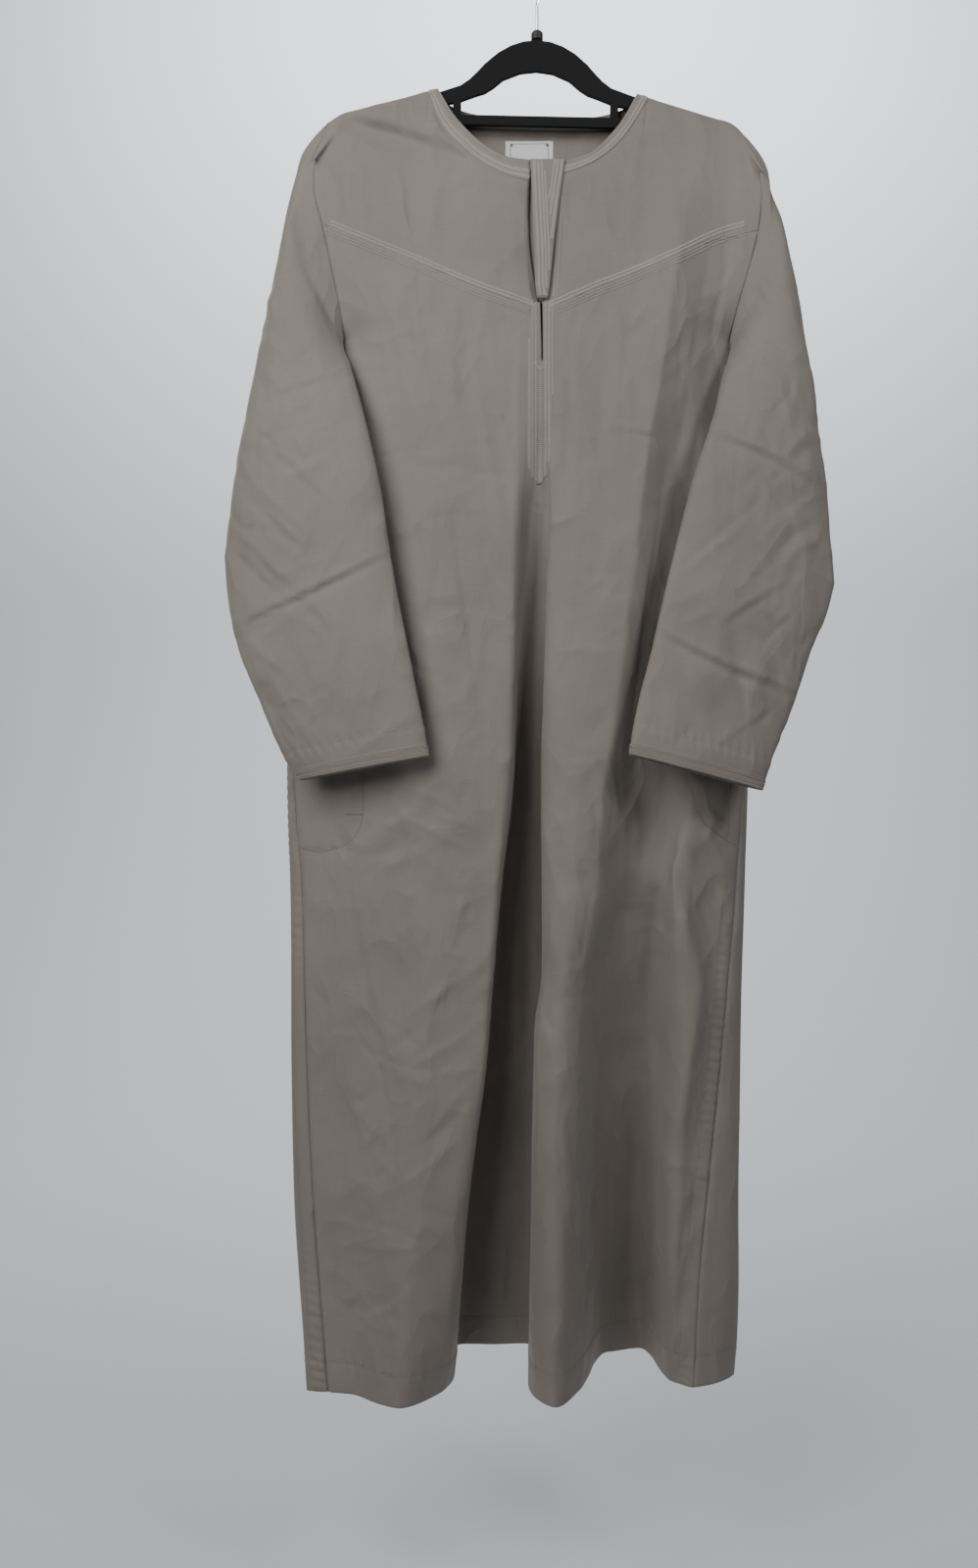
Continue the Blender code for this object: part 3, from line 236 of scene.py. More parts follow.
# Sleeve rings from below the sleeve head to the cuff: outer point x, y, z, inner point x, y, z, half
# thickness, bow outwards, and how much of the ring's back is drawn to its front near the inner point
SLEEVE = {
    "left": (
        (-268, -3, -245, -215.5, -4, -433, 20, 14, 0),
        (-278, -5, -287, -214.5, -9, -439, 23, 12, 0.3),
        (-286, -7, -334, -212, -15.5, -448, 25, 9, 0.6),
        (-295, -10, -381, -208, -22, -458, 27, 6, 0.85),
        (-305, -13, -430, -204, -29, -470, 27, 3, 1),
        (-314, -16, -482, -199, -39, -487, 26, 0, 0.9),
        (-322, -20, -526, -191, -50, -514, 25, 0, 0.7),
        (-331, -24, -577, -180, -59, -556, 23, 0, 0.5),
        (-337, -29, -629, -170, -64, -604, 21, 0, 0),
        (-341, -34, -680, -162, -68, -655, 19, 0, 0),
        (-336, -39, -729, -156, -71, -689, 18, 0, 0),
        (-326, -43, -775, -148, -74, -731, 17, 0, 0),
        (-309, -48, -817, -139, -77, -778, 16, 0, 0),
        (-291, -52, -858, -130, -80, -824, 15, 0, 0),
        (-270, -56, -900, -122, -83, -863, 14, 0, 0),
        (-255, -58, -919, -117, -84, -894, 13, 0, 0),
    ),
    "right": (
        (257, -3, -257, 215.5, -4, -433, 20, 14, 0),
        (270, -5, -294, 214.5, -9, -439, 22, 12, 0.2),
        (279, -7, -338, 211.5, -15.5, -448, 25, 9, 0.6),
        (288, -10, -386, 208, -22, -458, 27, 6, 0.85),
        (295, -13, -436, 203, -29, -470, 27, 3, 1),
        (305, -16, -485, 197, -39, -490, 26, 0, 0.9),
        (307, -20, -535, 190, -49, -518, 25, 0, 0.7),
        (315, -24, -590, 180, -57, -550, 23, 0, 0.5),
        (318, -29, -645, 168, -64, -585, 21, 0, 0),
        (322, -34, -699, 153, -68, -638, 19, 0, 0),
        (313, -39, -740, 139, -71, -692, 18, 0, 0),
        (295, -43, -780, 127, -74, -742, 17, 0, 0),
        (280, -48, -823, 116, -77, -790, 16, 0, 0),
        (262, -52, -868, 105, -80, -832, 15, 0, 0),
        (247, -56, -907, 97, -83, -871, 14, 0, 0),
        (239, -58, -930, 94, -84, -892, 13, 0, 0),
    ),
}
SLEEVE_PINCH = 1.0
DRAWN_MOST = 0.8
# Tab over the slit: z, left x, right x
TAB = (
    (-239, -8.4, 30.2),
    (-262, -7.6, 27.0),
    (-292, -6.5, 22.4),
    (-336, -4.6, 17.0),
    (-385, -3.7, 12.0),
    (-399, -1.6, 10.0),
)
# Depth below the origin and y of the tab's outer face
TAB_DEPTH = ((239, -26.5), (262, -31.0), (300, -37.5), (350, -44.5), (385, -48.2), (399, -49.0))
# Placket panel: z, left x, right x
PLACKET = (
    (-406, -9.0, 19.0),
    (-437, -11.2, 19.3),
    (-487, -13.4, 18.3),
    (-540, -13.5, 15.6),
    (-576, -13.3, 13.4),
    (-589, -10.3, 10.8),
    (-599.5, -1.5, 2.8),
)
SLIT_FOOT = -467.0


def between_knots(values, slopes, at, share, step):
    """The smooth curve's values at this share of the way from one knot to the next."""
    return (
        (1 + 2 * share) * (1 - share) ** 2 * values[at]
        + share * (1 - share) ** 2 * step * slopes[at]
        + share**2 * (3 - 2 * share) * values[at + 1]
        + share**2 * (share - 1) * step * slopes[at + 1]
    )


def curve_through(knots, values, places):
    """Values at the places, on a smooth curve through the knots that never overshoots them."""
    knots = np.asarray(knots, float)
    values = np.asarray(values, float)
    places = np.clip(np.asarray(places, float), knots[0], knots[-1])
    step = np.diff(knots)
    slope = np.diff(values) / step
    tangent = np.zeros(len(knots))
    tangent[0], tangent[-1] = slope[0], slope[-1]
    for i in range(1, len(knots) - 1):
        if slope[i - 1] * slope[i] > 0:
            before, after = 2 * step[i] + step[i - 1], step[i] + 2 * step[i - 1]
            tangent[i] = (before + after) / (before / slope[i - 1] + after / slope[i])
    at = np.clip(np.searchsorted(knots, places, side="right") - 1, 0, len(step) - 1)
    share = (places - knots[at]) / step[at]
    return between_knots(values, tangent, at, share, step[at])


def blend(low, high, share):
    return low + (high - low) * share


def ease(low, high, value):
    share = min(max((value - low) / (high - low), 0.0), 1.0)
    return share * share * (3 - 2 * share)


def column_places(strips):
    """Places of the mesh columns, counted in fold lines."""
    places = [0.0]
    for line, count in enumerate(strips):
        places += [line + (step + 1) / count for step in range(count)]
    return np.array(places)


def shoulder_height(x):
    return float(np.interp(x, [row[0] for row in SHOULDER], [row[1] for row in SHOULDER]))


def armhole_point(side, share, sign):
    """A point of the armhole: sign is -1 on its front half and 1 on its back half."""
    column = (1 if side == "left" else 3) + (1 if sign < 0 else 0)
    shares = [row[0] for row in ARMHOLE]
    x = curve_through(shares, [row[column] for row in ARMHOLE], share)
    depth = curve_through(shares, [row[5] for row in ARMHOLE], share)
    return np.array([float(x), sign * float(depth), blend(ARMHOLE_TOP[side], ARMHOLE_FOOT, share)])


def armhole_share(side, height):
    return (ARMHOLE_TOP[side] - height) / (ARMHOLE_TOP[side] - ARMHOLE_FOOT)


def at_height(table, line, part, height):
    heights = [-row[0] for row in table]
    return float(curve_through(heights, [row[1 + 2 * line + part] for row in table], -height))


def side_edge(side, height, sign):
    """The edge of a panel: half the armhole above the underarm, and the side seam below it."""
    share = armhole_share(side, height)
    if share < 1:
        return armhole_point(side, max(share, 0), sign)
    line = 0 if side == "left" else len(FRONT_LINES) - 1
    return np.array([at_height(FRONT, line, 0, height), at_height(FRONT, line, 1, height), height])


def panel_point(place, height, table, inner_lines, edges, sign):
    """A point of the front or the back, from its table's inner fold lines and its two edges."""
    first, last = (side_edge(side, height, sign) for side in edges)
    found = []
    for part in (0, 1):
        inner = [at_height(table, line, part, height) for line in inner_lines]
        values = [first[part], *inner, last[part]]
        found.append(float(curve_through(range(len(values)), values, [place])[0]))
    return np.array([*found, height])


def front_point(place, height):
    return panel_point(place, height, FRONT, range(1, len(FRONT_LINES) - 1), ("left", "right"), -1)


def back_point(place, height):
    return panel_point(place, height, BACK, range(len(BACK_LINES) - 2), ("right", "left"), 1)


def neck_point(row, edge):
    """A point of the neck opening: edge 0 is the band's free edge and edge 1 the sewn one."""
    knots = range(len(NECK))
    parts = [[point[3 * edge + part] for point in NECK] for part in range(3)]
    return np.array([float(curve_through(knots, values, row)) for values in parts])


def neck_normal(row):
    """Outward direction of the cloth at the neck seam."""
    before, after = max(row - 0.1, 0), min(row + 0.1, len(NECK) - 1)
    normal = np.cross(neck_point(after, 1) - neck_point(before, 1), neck_point(row, 1) - neck_point(row, 0))
    return normal / np.linalg.norm(normal)


def neck_row(place, neck):
    """The row of NECK where this column starts, or None for a column that starts elsewhere."""
    low, high = math.floor(place), math.ceil(place)
    if not min(neck) < place < max(neck) or abs(neck[low] - neck[high]) > len(NECK) / 2:
        return None
    return neck[low] if high == low else blend(neck[low], neck[high], place - low)


def edge_top(place, shoulder, neck, sign):
    """The upper three points of a column, from the shoulder fold or the neck seam down."""
    row = neck_row(place, neck)
    if row is not None:
        top = neck_point(row, 1)
        drops = ((0, sign * 0.3, -FOLD_DROP * 0.4), (0, sign * 0.9, -FOLD_DROP))
    else:
        lines = sorted(shoulder)
        x = float(curve_through(lines, [shoulder[line] for line in lines], place))
        top = np.array([x, 0.0, shoulder_height(x)])
        drops = ((0, sign * FOLD_DEPTH * 0.66, -FOLD_DROP * 0.3), (0, sign * FOLD_DEPTH, -FOLD_DROP))
    return [top, top + drops[0], top + drops[1]]


def v_height(x):
    return float(np.interp(x, [row[0] for row in V_SEAM], [row[1] for row in V_SEAM]))


def v_top(place):
    """The height at which a column of the front meets the V seam."""
    height = -360.0
    for _ in range(12):
        height = v_height(front_point(place, height)[0])
    return height


def front_panel():
    """Outer face of the front below the V seam."""
    places = column_places(FRONT_STRIPS)
    hem = curve_through(range(len(FRONT_LINES)), FRONT_HEM, places)
    half = len(ARMHOLE_SHARES) // 2
    steps = [(share - 0.5) / 0.5 for share in ARMHOLE_SHARES[half:]]
    grid = []
    for c, place in enumerate(places):
        heights = [blend(v_top(place), ARMHOLE_FOOT, step) for step in steps]
        heights += [blend(SLIT_FOOT, hem[c], k / SKIRT_ROWS) for k in range(SKIRT_ROWS + 1)]
        grid.append([front_point(place, z) for z in heights])
    return np.swapaxes(np.array(grid), 0, 1)


def yoke_column(place):
    """One column of a front yoke, from the shoulder or neck edge down to the V seam."""
    last = len(FRONT_LINES) - 1
    side = "left" if place < last / 2 else "right"
    end = 0 if side == "left" else last
    shares = ARMHOLE_SHARES[: len(ARMHOLE_SHARES) // 2 + 1]
    edge = np.array([armhole_point(side, share, -1) for share in shares])
    top = edge_top(place, FRONT_SHOULDER_X, FRONT_NECK_ROW, -1)
    if place == end:
        edge[0] = top[0]
        return edge
    foot = front_point(place, v_top(place))
    weight = 1 - ease(0, 1.0, abs(place - end))
    near_opening = 1 - ease(0, 1.0, abs(place - OPENING[0 if side == "left" else 1]))
    column = list(top)
    for r in range(len(top), len(shares)):
        step = (shares[r] - shares[2]) / (shares[-1] - shares[2])
        bow = (edge[r] - blend(edge[2], edge[-1], step)) * weight
        bow[0] += YOKE_BOW[side] * near_opening * math.sin(math.pi * step)
        column.append(blend(top[2], foot, step) + (bow if r < len(shares) - 1 else 0))
    return np.array(column)


def yoke_panel(side):
    """Outer face of a front yoke."""
    places = column_places(FRONT_STRIPS)
    places = places[places <= OPENING[0]] if side == "left" else places[places >= OPENING[1]]
    return np.stack([yoke_column(place) for place in places], axis=1)


def back_panel():
    """Outer face of the back."""
    places = column_places(BACK_STRIPS)
    lines = len(BACK_LINES)
    hem = curve_through(range(lines), BACK_HEM, places)
    steps = [(share - ARMHOLE_SHARES[2]) / (1 - ARMHOLE_SHARES[2]) for share in ARMHOLE_SHARES[3:]]
    grid = []
    for c, place in enumerate(places):
        top = edge_top(place, BACK_SHOULDER_X, BACK_NECK_ROW, 1)
        heights = [blend(top[2][2], ARMHOLE_FOOT, step) for step in steps]
        heights += [blend(SLIT_FOOT, hem[c], k / SKIRT_ROWS) for k in range(SKIRT_ROWS + 1)]
        column = list(top)
        for z in heights:
            point = blend(top[2], back_point(place, z), ease(top[2][2], BACK[0][0], z))
            column.append(np.array([point[0], point[1], z]))
        grid.append(column)
    for c, side in ((0, "right"), (-1, "left")):
        for r, share in enumerate(ARMHOLE_SHARES[1:], 1):
            grid[c][r] = armhole_point(side, share, 1)
    return np.swapaxes(np.array(grid), 0, 1)


def sleeve_rings(side):
    """Rings of one sleeve, front half first, from the armhole down to the cuff."""
    inwards = 1 if side == "left" else -1
    angles = [2 * math.pi * k / SLEEVE_SIDES for k in range(SLEEVE_SIDES)]
    shares = [(1 - math.cos(angle)) / 2 for angle in angles]
    middle = SLEEVE_SIDES // 2
    signs = [-1 if 0 < k < middle else 1 for k in range(SLEEVE_SIDES)]
    first = np.array([armhole_point(side, share, sign) for share, sign in zip(shares, signs)])
    first[[0, middle], 1] = 0
    free = []
    for ox, oy, oz, ix, iy, iz, half, bow, drawn in SLEEVE[side]:
        outer, inner = np.array([ox, oy, oz], float), np.array([ix, iy, iz], float)
        chord = inner - outer
        across = np.array([chord[1], -chord[0], 0.0]) * inwards
        across = across / np.linalg.norm(across)
        ring = []
        for angle, share in zip(angles, shares):
            bulge = math.copysign(abs(math.sin(angle)) ** SLEEVE_PINCH, math.sin(angle)) * half
            if bulge < 0:
                bulge *= 1 - DRAWN_MOST * drawn * ease(0.45, 0.85, share)
            point = outer + chord * share + across * bulge
            ring.append(point - (inwards * bow * math.sin(math.pi * share), 0, 0))
        free.append(ring)
    rings = [first]
    for along, stand in SLEEVE_HEAD:
        out = np.array([stand * (1 - share) ** 3 for share in shares])
        ring = blend(first, np.array(free[0]), along)
        ring[:, 0] -= inwards * out
        ring[:, 2] += out * 0.4
        rings.append(ring)
    return np.array(rings + free, float)


def seen(points):
    """Column and row of the camera's picture at which points are seen."""
    reach = points[..., 1] - EYE[1]
    column = MIDDLE[0] + (points[..., 0] - EYE[0]) * FOCAL / reach
    row = MIDDLE[1] - (points[..., 2] - EYE[2]) * FOCAL / reach
    return column, row


def spline(knots, values, places, tame=False):
    """Values at the places, on a smooth curve through whole arrays of values, along their first axis.

    A tame curve never overshoots them.
    """
    places = np.clip(places, knots[0], knots[-1])
    shape = (-1,) + (1,) * (values.ndim - 1)
    step = np.diff(knots)
    slope = np.diff(values, axis=0) / step.reshape(shape)
    later = (step[:-1] / (step[:-1] + step[1:])).reshape(shape)
    inner = blend(slope[:-1], slope[1:], later)
    if tame:
        before, after = slope[:-1], slope[1:]
        same = before * after > 0
        inner = np.where(same, 2 * before * after / np.where(same, before + after, 1), 0)
    tangent = np.concatenate([slope[:1], inner, slope[-1:]])
    at = np.clip(np.searchsorted(knots, places, side="right") - 1, 0, len(step) - 1)
    share = ((places - knots[at]) / step[at]).reshape(shape)
    return between_knots(values, tangent, at, share, step[at].reshape(shape))


def marks_along(points):
    """How far along a line of points each of them lies."""
    return np.concatenate([[0], np.cumsum(np.linalg.norm(np.diff(points, axis=0), axis=1))])


def arc(grid, axis):
    """How far along an axis of the grid its rows or columns lie, in millimetres."""
    lengths = np.linalg.norm(np.diff(grid, axis=axis), axis=2).mean(axis=1 - axis)
    return np.concatenate([[0], np.cumsum(lengths)])


def spaced(end, step, fine=(), through=()):
    """Places from 0 to end, a step apart, or closer within the fine stretches, and also those in through."""
    marks = np.linspace(0, end, 2000)
    density = np.full(len(marks), 1 / step)
    for low, high, closer in fine:
        density[(marks >= low) & (marks <= high)] = 1 / closer
    count = np.concatenate([[0], np.cumsum((density[1:] + density[:-1]) / 2 * np.diff(marks))])
    places = np.interp(np.linspace(0, count[-1], int(count[-1]) + 2), count, marks)
    for place in through:
        places[np.argmin(abs(places - place))] = place
    return places


def refined(grid, rows, columns, closed=False, tame=False):
    """A smooth surface through a coarse grid, at these distances along its rows and its columns."""
    down, along = arc(grid, 0), arc(grid, 1)
    if closed:
        full = arc(np.concatenate([grid, grid[:, :1]], axis=1), 1)
        size = full[-1]
        along = np.concatenate([full[-4:-1] - size, full[:-1], full[:4] + size])
        grid = np.concatenate([grid[:, -3:], grid, grid[:, :4]], axis=1)
    grid = spline(down, grid, rows, tame)
    return np.swapaxes(spline(along, np.swapaxes(grid, 0, 1), columns), 0, 1)


def normals_of(grid, closed=False):
    if closed:
        along = np.roll(grid, -1, axis=1) - np.roll(grid, 1, axis=1)
    else:
        along = np.gradient(grid, axis=1)
    normal = np.cross(np.gradient(grid, axis=0), along)
    return normal / np.maximum(np.linalg.norm(normal, axis=2, keepdims=True), 1e-9)


def nearest(column, row, line):
    """Signed distance of picture places from a line, and how far along it they are, from 0 to 1."""
    line = np.array(line, float)
    ends = marks_along(line)
    best = np.full(column.shape, np.inf)
    side, share = np.zeros(column.shape), np.zeros(column.shape)
    for start, end, before, after in zip(line, line[1:], ends, ends[1:]):
        way = (end - start) / (after - before)
        across, down = column - start[0], row - start[1]
        along = np.clip(across * way[0] + down * way[1], 0, after - before)
        gap = np.hypot(across - along * way[0], down - along * way[1])
        closer = gap < best
        turn = np.sign(across * way[1] - down * way[0])
        best, side = np.where(closer, gap, best), np.where(closer, turn, side)
        share = np.where(closer, (before + along) / ends[-1], share)
    return best * side, share


def creased(column, row, creases):
    """How far each place stands out, in millimetres, from a list of height, width, lean and line."""
    total = np.zeros(column.shape)
    for height, width, lean, line in creases:
        reach = 4.5 * width
        low, high = np.min(line, axis=0) - reach, np.max(line, axis=0) + reach
        near = (column > low[0]) & (column < high[0]) & (row > low[1]) & (row < high[1])
        if not near.any():
            continue
        gap, share = nearest(column[near], row[near], line)
        fade = np.sin(np.pi * np.clip(share, 0.02, 0.98)) ** 0.7
        wide = width * (0.7 + 0.3 * fade) * (1 + lean * np.sign(gap))
        soft = np.exp(-((gap / wide) ** 2))
        sharp = np.exp(-(np.sqrt(gap**2 + 0.5) - 0.7) / (0.9 * wide))
        total[near] += (height * soft if width > 6.5 else 1.4 * height * sharp) * fade
    return total


def folded(column, row, folds):
    """How far each place stands out by the big folds: a line, and heights at distances to its right."""
    total = np.zeros(column.shape)
    for line, profile in folds:
        gaps, heights = np.array(profile, float).T
        low, high = np.min(line, axis=0) + (gaps[0], -30), np.max(line, axis=0) + (gaps[-1], 30)
        near = (column > low[0]) & (column < high[0]) & (row > low[1]) & (row < high[1])
        gap, share = nearest(column[near], row[near], line)
        rounded = sum(np.interp(gap + shift, gaps, heights) for shift in (-1.5, 0, 1.5)) / 3
        fade = np.clip(np.minimum(share / 0.12, (1 - share) / 0.12), 0, 1)
        total[near] += rounded * fade * fade * (3 - 2 * fade)
    return total


def small_creases(seed, count, box, slants, heights, widths, lengths):
    """Short creases strewn over a box of the picture, mostly at the given slants, in degrees from level."""
    random = np.random.default_rng(seed)
    made = []
    for _ in range(count):
        middle = random.uniform(box[:2], box[2:])
        slant = math.radians(random.choice(slants) + random.normal(0, 9))
        half = random.uniform(*lengths) / 2
        way = np.array([math.cos(slant), math.sin(slant)])
        bend = np.array([-way[1], way[0]]) * half * random.normal(0, 0.12)
        height = random.uniform(*heights) * random.choice([-1, 1])
        line = [middle - way * half, middle + bend, middle + way * half]
        made.append((height, random.uniform(*widths), random.uniform(-0.45, 0.45), line))
    return made


def waves(column, row, seed, height, length):
    """Soft unevenness of hanging cloth: a few broad waves that cross."""
    random = np.random.default_rng(seed)
    total = np.zeros(column.shape)
    for _ in range(7):
        slant, phase = random.uniform(-0.6, 0.6), random.uniform(0, 2 * math.pi)
        size = length * random.uniform(0.6, 1.6)
        total += np.sin((column * math.cos(slant) + row * math.sin(slant)) * 2 * math.pi / size + phase)
        total += 0.6 * np.sin((row + column * slant) * 2 * math.pi / (2.2 * size) + 3 * phase)
    return total * height / 4


def object_of(name, points, faces):
    """A smooth object of these points, in metres, and faces."""
    data = bpy.data.meshes.new(name)
    data.from_pydata(points, [], faces)
    data.shade_smooth()
    made = bpy.data.objects.new(name, data)
    bpy.context.scene.collection.objects.link(made)
    return made


def piece_of(name, points, faces):
    """A piece that rides on the part, from points in millimetres."""
    made = object_of(name, (points * MM).tolist(), faces)
    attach(made, "root")
    return made


def shell(name, grid, wall, closed=False, skip=None, normals=None, lift=0.0):
    """A wall of cloth, as quads: the grid is its outer face, moved out by lift."""
    if normals is None:
        normals = normals_of(grid, closed)
    outer = grid + normals * lift
    wall = np.asarray(wall, float)
    inner = outer - normals * (wall[..., None] if wall.ndim else wall)
    rows, columns = grid.shape[:2]
    cells = columns if closed else columns - 1
    r, c = np.meshgrid(np.arange(rows - 1), np.arange(cells), indexing="ij")
    kept = np.ones(r.shape, bool) if skip is None else ~skip(r, c)
    r, c = r[kept], c[kept]
    right = (c + 1) % columns
    quads = np.stack([r * columns + c, r * columns + right, (r + 1) * columns + right, (r + 1) * columns + c],
                     1)
    count = rows * columns
    ends = np.concatenate([quads[:, [0, 1]], quads[:, [1, 2]], quads[:, [2, 3]], quads[:, [3, 0]]])
    key = ends[:, 0].astype(np.int64) * count + ends[:, 1]
    open_ends = ends[~np.isin(key, ends[:, 1].astype(np.int64) * count + ends[:, 0])]
    rim = np.stack([open_ends[:, 1], open_ends[:, 0], open_ends[:, 0] + count, open_ends[:, 1] + count], 1)
    faces = np.concatenate([quads, quads[:, ::-1] + count, rim])
    used, faces = np.unique(faces, return_inverse=True)
    points = np.concatenate([outer.reshape(-1, 3), inner.reshape(-1, 3)])[used]
    return piece_of(name, points, faces.reshape(-1, 4).tolist())


def doubled(places):
    """The same places with one more halfway between each two."""
    return np.interp(np.arange(2 * len(places) - 1) / 2, np.arange(len(places)), places)


def panel(name, grid, out, wall, closed=False, skip=None):
    """A wall of cloth whose outer face stands out from a fine grid.

    Its inner face has half as many rows and columns and keeps inside the outer one. Skip says which cells,
    two by two, are left out.
    """
    rows, columns = grid.shape[:2]
    normals = normals_of(grid, closed)
    inward = out - wall
    for axis in (0, 1):
        for step in (-2, -1, 1, 2):
            moved = np.roll(out - wall, step, axis=axis)
            if axis == 1 and not closed:
                moved[:, :2], moved[:, -2:] = np.inf, np.inf
            inward = np.minimum(inward, moved)
    outer = (grid + normals * out[..., None]).reshape(-1, 3)
    inner = (grid + normals * inward[..., None]).reshape(-1, 3)
    count = rows * columns
    pairs = columns // 2 if closed else (columns - 1) // 2
    r, c = np.meshgrid(np.arange(0, rows - 1, 2), np.arange(0, 2 * pairs, 2), indexing="ij")
    kept = np.ones(r.shape, bool) if skip is None else ~skip(r, c)
    r, c = r[kept], c[kept]

    def corner(down, along):
        return (r + down) * columns + (c + along) % columns

    fine = [np.stack([corner(i, j), corner(i, j + 1), corner(i + 1, j + 1), corner(i + 1, j)], 1)
            for i in (0, 1) for j in (0, 1)]
    wide = np.stack([corner(0, 0), corner(0, 2), corner(2, 2), corner(2, 0)], 1)
    middles = np.stack([corner(0, 1), corner(1, 2), corner(2, 1), corner(1, 0)], 1)
    starts, ends, middles = wide.ravel(), np.roll(wide, -1, axis=1).ravel(), middles.ravel()
    key = starts.astype(np.int64) * count + ends
    edge = ~np.isin(key, ends.astype(np.int64) * count + starts)
    starts, ends, middles = starts[edge], ends[edge], middles[edge]
    rim = np.stack([ends, middles, starts, starts + count, ends + count], 1)
    quads = np.concatenate([*fine, wide[:, ::-1] + count])
    used, index = np.unique(np.concatenate([quads.ravel(), rim.ravel()]), return_inverse=True)
    faces = index[: quads.size].reshape(-1, 4).tolist() + index[quads.size :].reshape(-1, 5).tolist()
    return piece_of(name, np.concatenate([outer, inner])[used], faces), outer.reshape(grid.shape)


# ---- Materials -------------------------------------------------------------------------------------------


def nodes_for(name):
    made = bpy.data.materials.new(name)
    made.use_nodes = True
    tree = made.node_tree
    return made, tree, tree.nodes["Principled BSDF"]


def add_node(tree, kind, inputs=None, **settings):
    node = tree.nodes.new(kind)
    for key, value in settings.items():
        setattr(node, key, value)
    for key, value in (inputs or {}).items():
        if hasattr(value, "is_output") and value.is_output:
            tree.links.new(value, node.inputs[key])
        else:
            node.inputs[key].default_value = value
    return node


def noise(tree, place, scale, detail, **settings):
    inputs = {"Vector": place, "Scale": scale, "Detail": detail}
    return add_node(tree, "ShaderNodeTexNoise", inputs, **settings)


def stretched(tree, place, scale):
    return add_node(tree, "ShaderNodeMapping", {"Vector": place, "Scale": scale}).outputs[0]


def combined(tree, first, second, operation):
    return add_node(tree, "ShaderNodeMath", {0: first, 1: second}, operation=operation).outputs[0]


def bump_node(tree, height, strength, distance):
    return add_node(tree, "ShaderNodeBump", {"Height": height, "Strength": strength, "Distance": distance})


def paint(tree, shader, factor, low, high):
    """The base colour, from low to high."""
    inputs = {"Factor": factor, "A": (*low, 1), "B": (*high, 1)}
    colour = add_node(tree, "ShaderNodeMix", inputs, data_type="RGBA")
    tree.links.new(colour.outputs["Result"], shader.inputs["Base Color"])


RIDGES = {"Roughness": 0.5, "Lacunarity": 2.3, "Offset": 0.9, "Gain": 1.6, "Distortion": 0.35}


def crinkles(tree, place, strength):
    """A relief of ridges and facets a little taller than wide."""
    hung = stretched(tree, place, (1.0, 1.0, 0.6))
    ridges = noise(tree, hung, 17.0, 1.5, noise_type="RIDGED_MULTIFRACTAL")
    for key, value in RIDGES.items():
        ridges.inputs[key].default_value = value
    swirl = noise(tree, hung, 9.0, 2.0)
    moved = add_node(tree, "ShaderNodeMix", {"Factor": 0.12, "A": hung, "B": swirl.outputs["Color"]},
                     data_type="VECTOR")
    spots = {"Vector": moved.outputs["Result"], "Scale": 19.0, "Smoothness": 0.35}
    facets = add_node(tree, "ShaderNodeTexVoronoi", spots, feature="SMOOTH_F1")
    low_ridges = combined(tree, ridges.outputs[0], 0.6, "MULTIPLY")
    relief = combined(tree, facets.outputs["Distance"], low_ridges, "ADD")
    return bump_node(tree, relief, strength, 0.006).outputs[0]


def cloth(name, low, high, roughness, weave=0.05, crinkle=0.0):
    """Plain-woven cloth: two crossing sets of yarns, slubs and soft patches of a slightly different tone."""
    made, tree, shader = nodes_for(name)
    place = add_node(tree, "ShaderNodeTexCoord").outputs["Object"]
    patches = noise(tree, place, 7.0, 3.0).outputs[0]
    upright = noise(tree, stretched(tree, place, (900.0, 900.0, 40.0)), 1.0, 1.0).outputs[0]
    level = noise(tree, stretched(tree, place, (40.0, 40.0, 900.0)), 1.0, 1.0).outputs[0]
    yarns = combined(tree, upright, level, "ADD")
    tone = combined(tree, patches, combined(tree, yarns, 0.28, "MULTIPLY"), "ADD")
    span = add_node(tree, "ShaderNodeMapRange", {"Value": tone, "From Min": 0.5, "From Max": 1.05})
    paint(tree, shader, span.outputs[0], low, high)
    fine = bump_node(tree, yarns, weave, 0.0004)
    if crinkle:
        tree.links.new(crinkles(tree, place, crinkle), fine.inputs["Normal"])
    tree.links.new(fine.outputs[0], shader.inputs["Normal"])
    shader.inputs["Roughness"].default_value = roughness
    shader.inputs["Sheen Weight"].default_value = 0.2
    shader.inputs["Sheen Roughness"].default_value = 0.45
    shader.inputs["Specular IOR Level"].default_value = 0.25
    return made


def smooth_stuff(name, low, high, roughness, metallic=0.0, scale=60.0, bump=0.05, sheen=0.0):
    """Flock, metal or moulded plastic, with fine unevenness."""
    made, tree, shader = nodes_for(name)
    grain = noise(tree, add_node(tree, "ShaderNodeTexCoord").outputs["Object"], scale, 4.0).outputs[0]
    paint(tree, shader, grain, low, high)
    span = {"Value": grain, "To Min": roughness - 0.05, "To Max": roughness + 0.05}
    rough = add_node(tree, "ShaderNodeMapRange", span)
    tree.links.new(rough.outputs[0], shader.inputs["Roughness"])
    tree.links.new(bump_node(tree, grain, bump, 0.0005).outputs[0], shader.inputs["Normal"])
    shader.inputs["Metallic"].default_value = metallic
    shader.inputs["Sheen Weight"].default_value = sheen
    return made


def dress(piece, finish, *nodes):
    piece.data.materials.clear()
    piece.data.materials.append(finish)
    if nodes:
        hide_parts(*nodes)


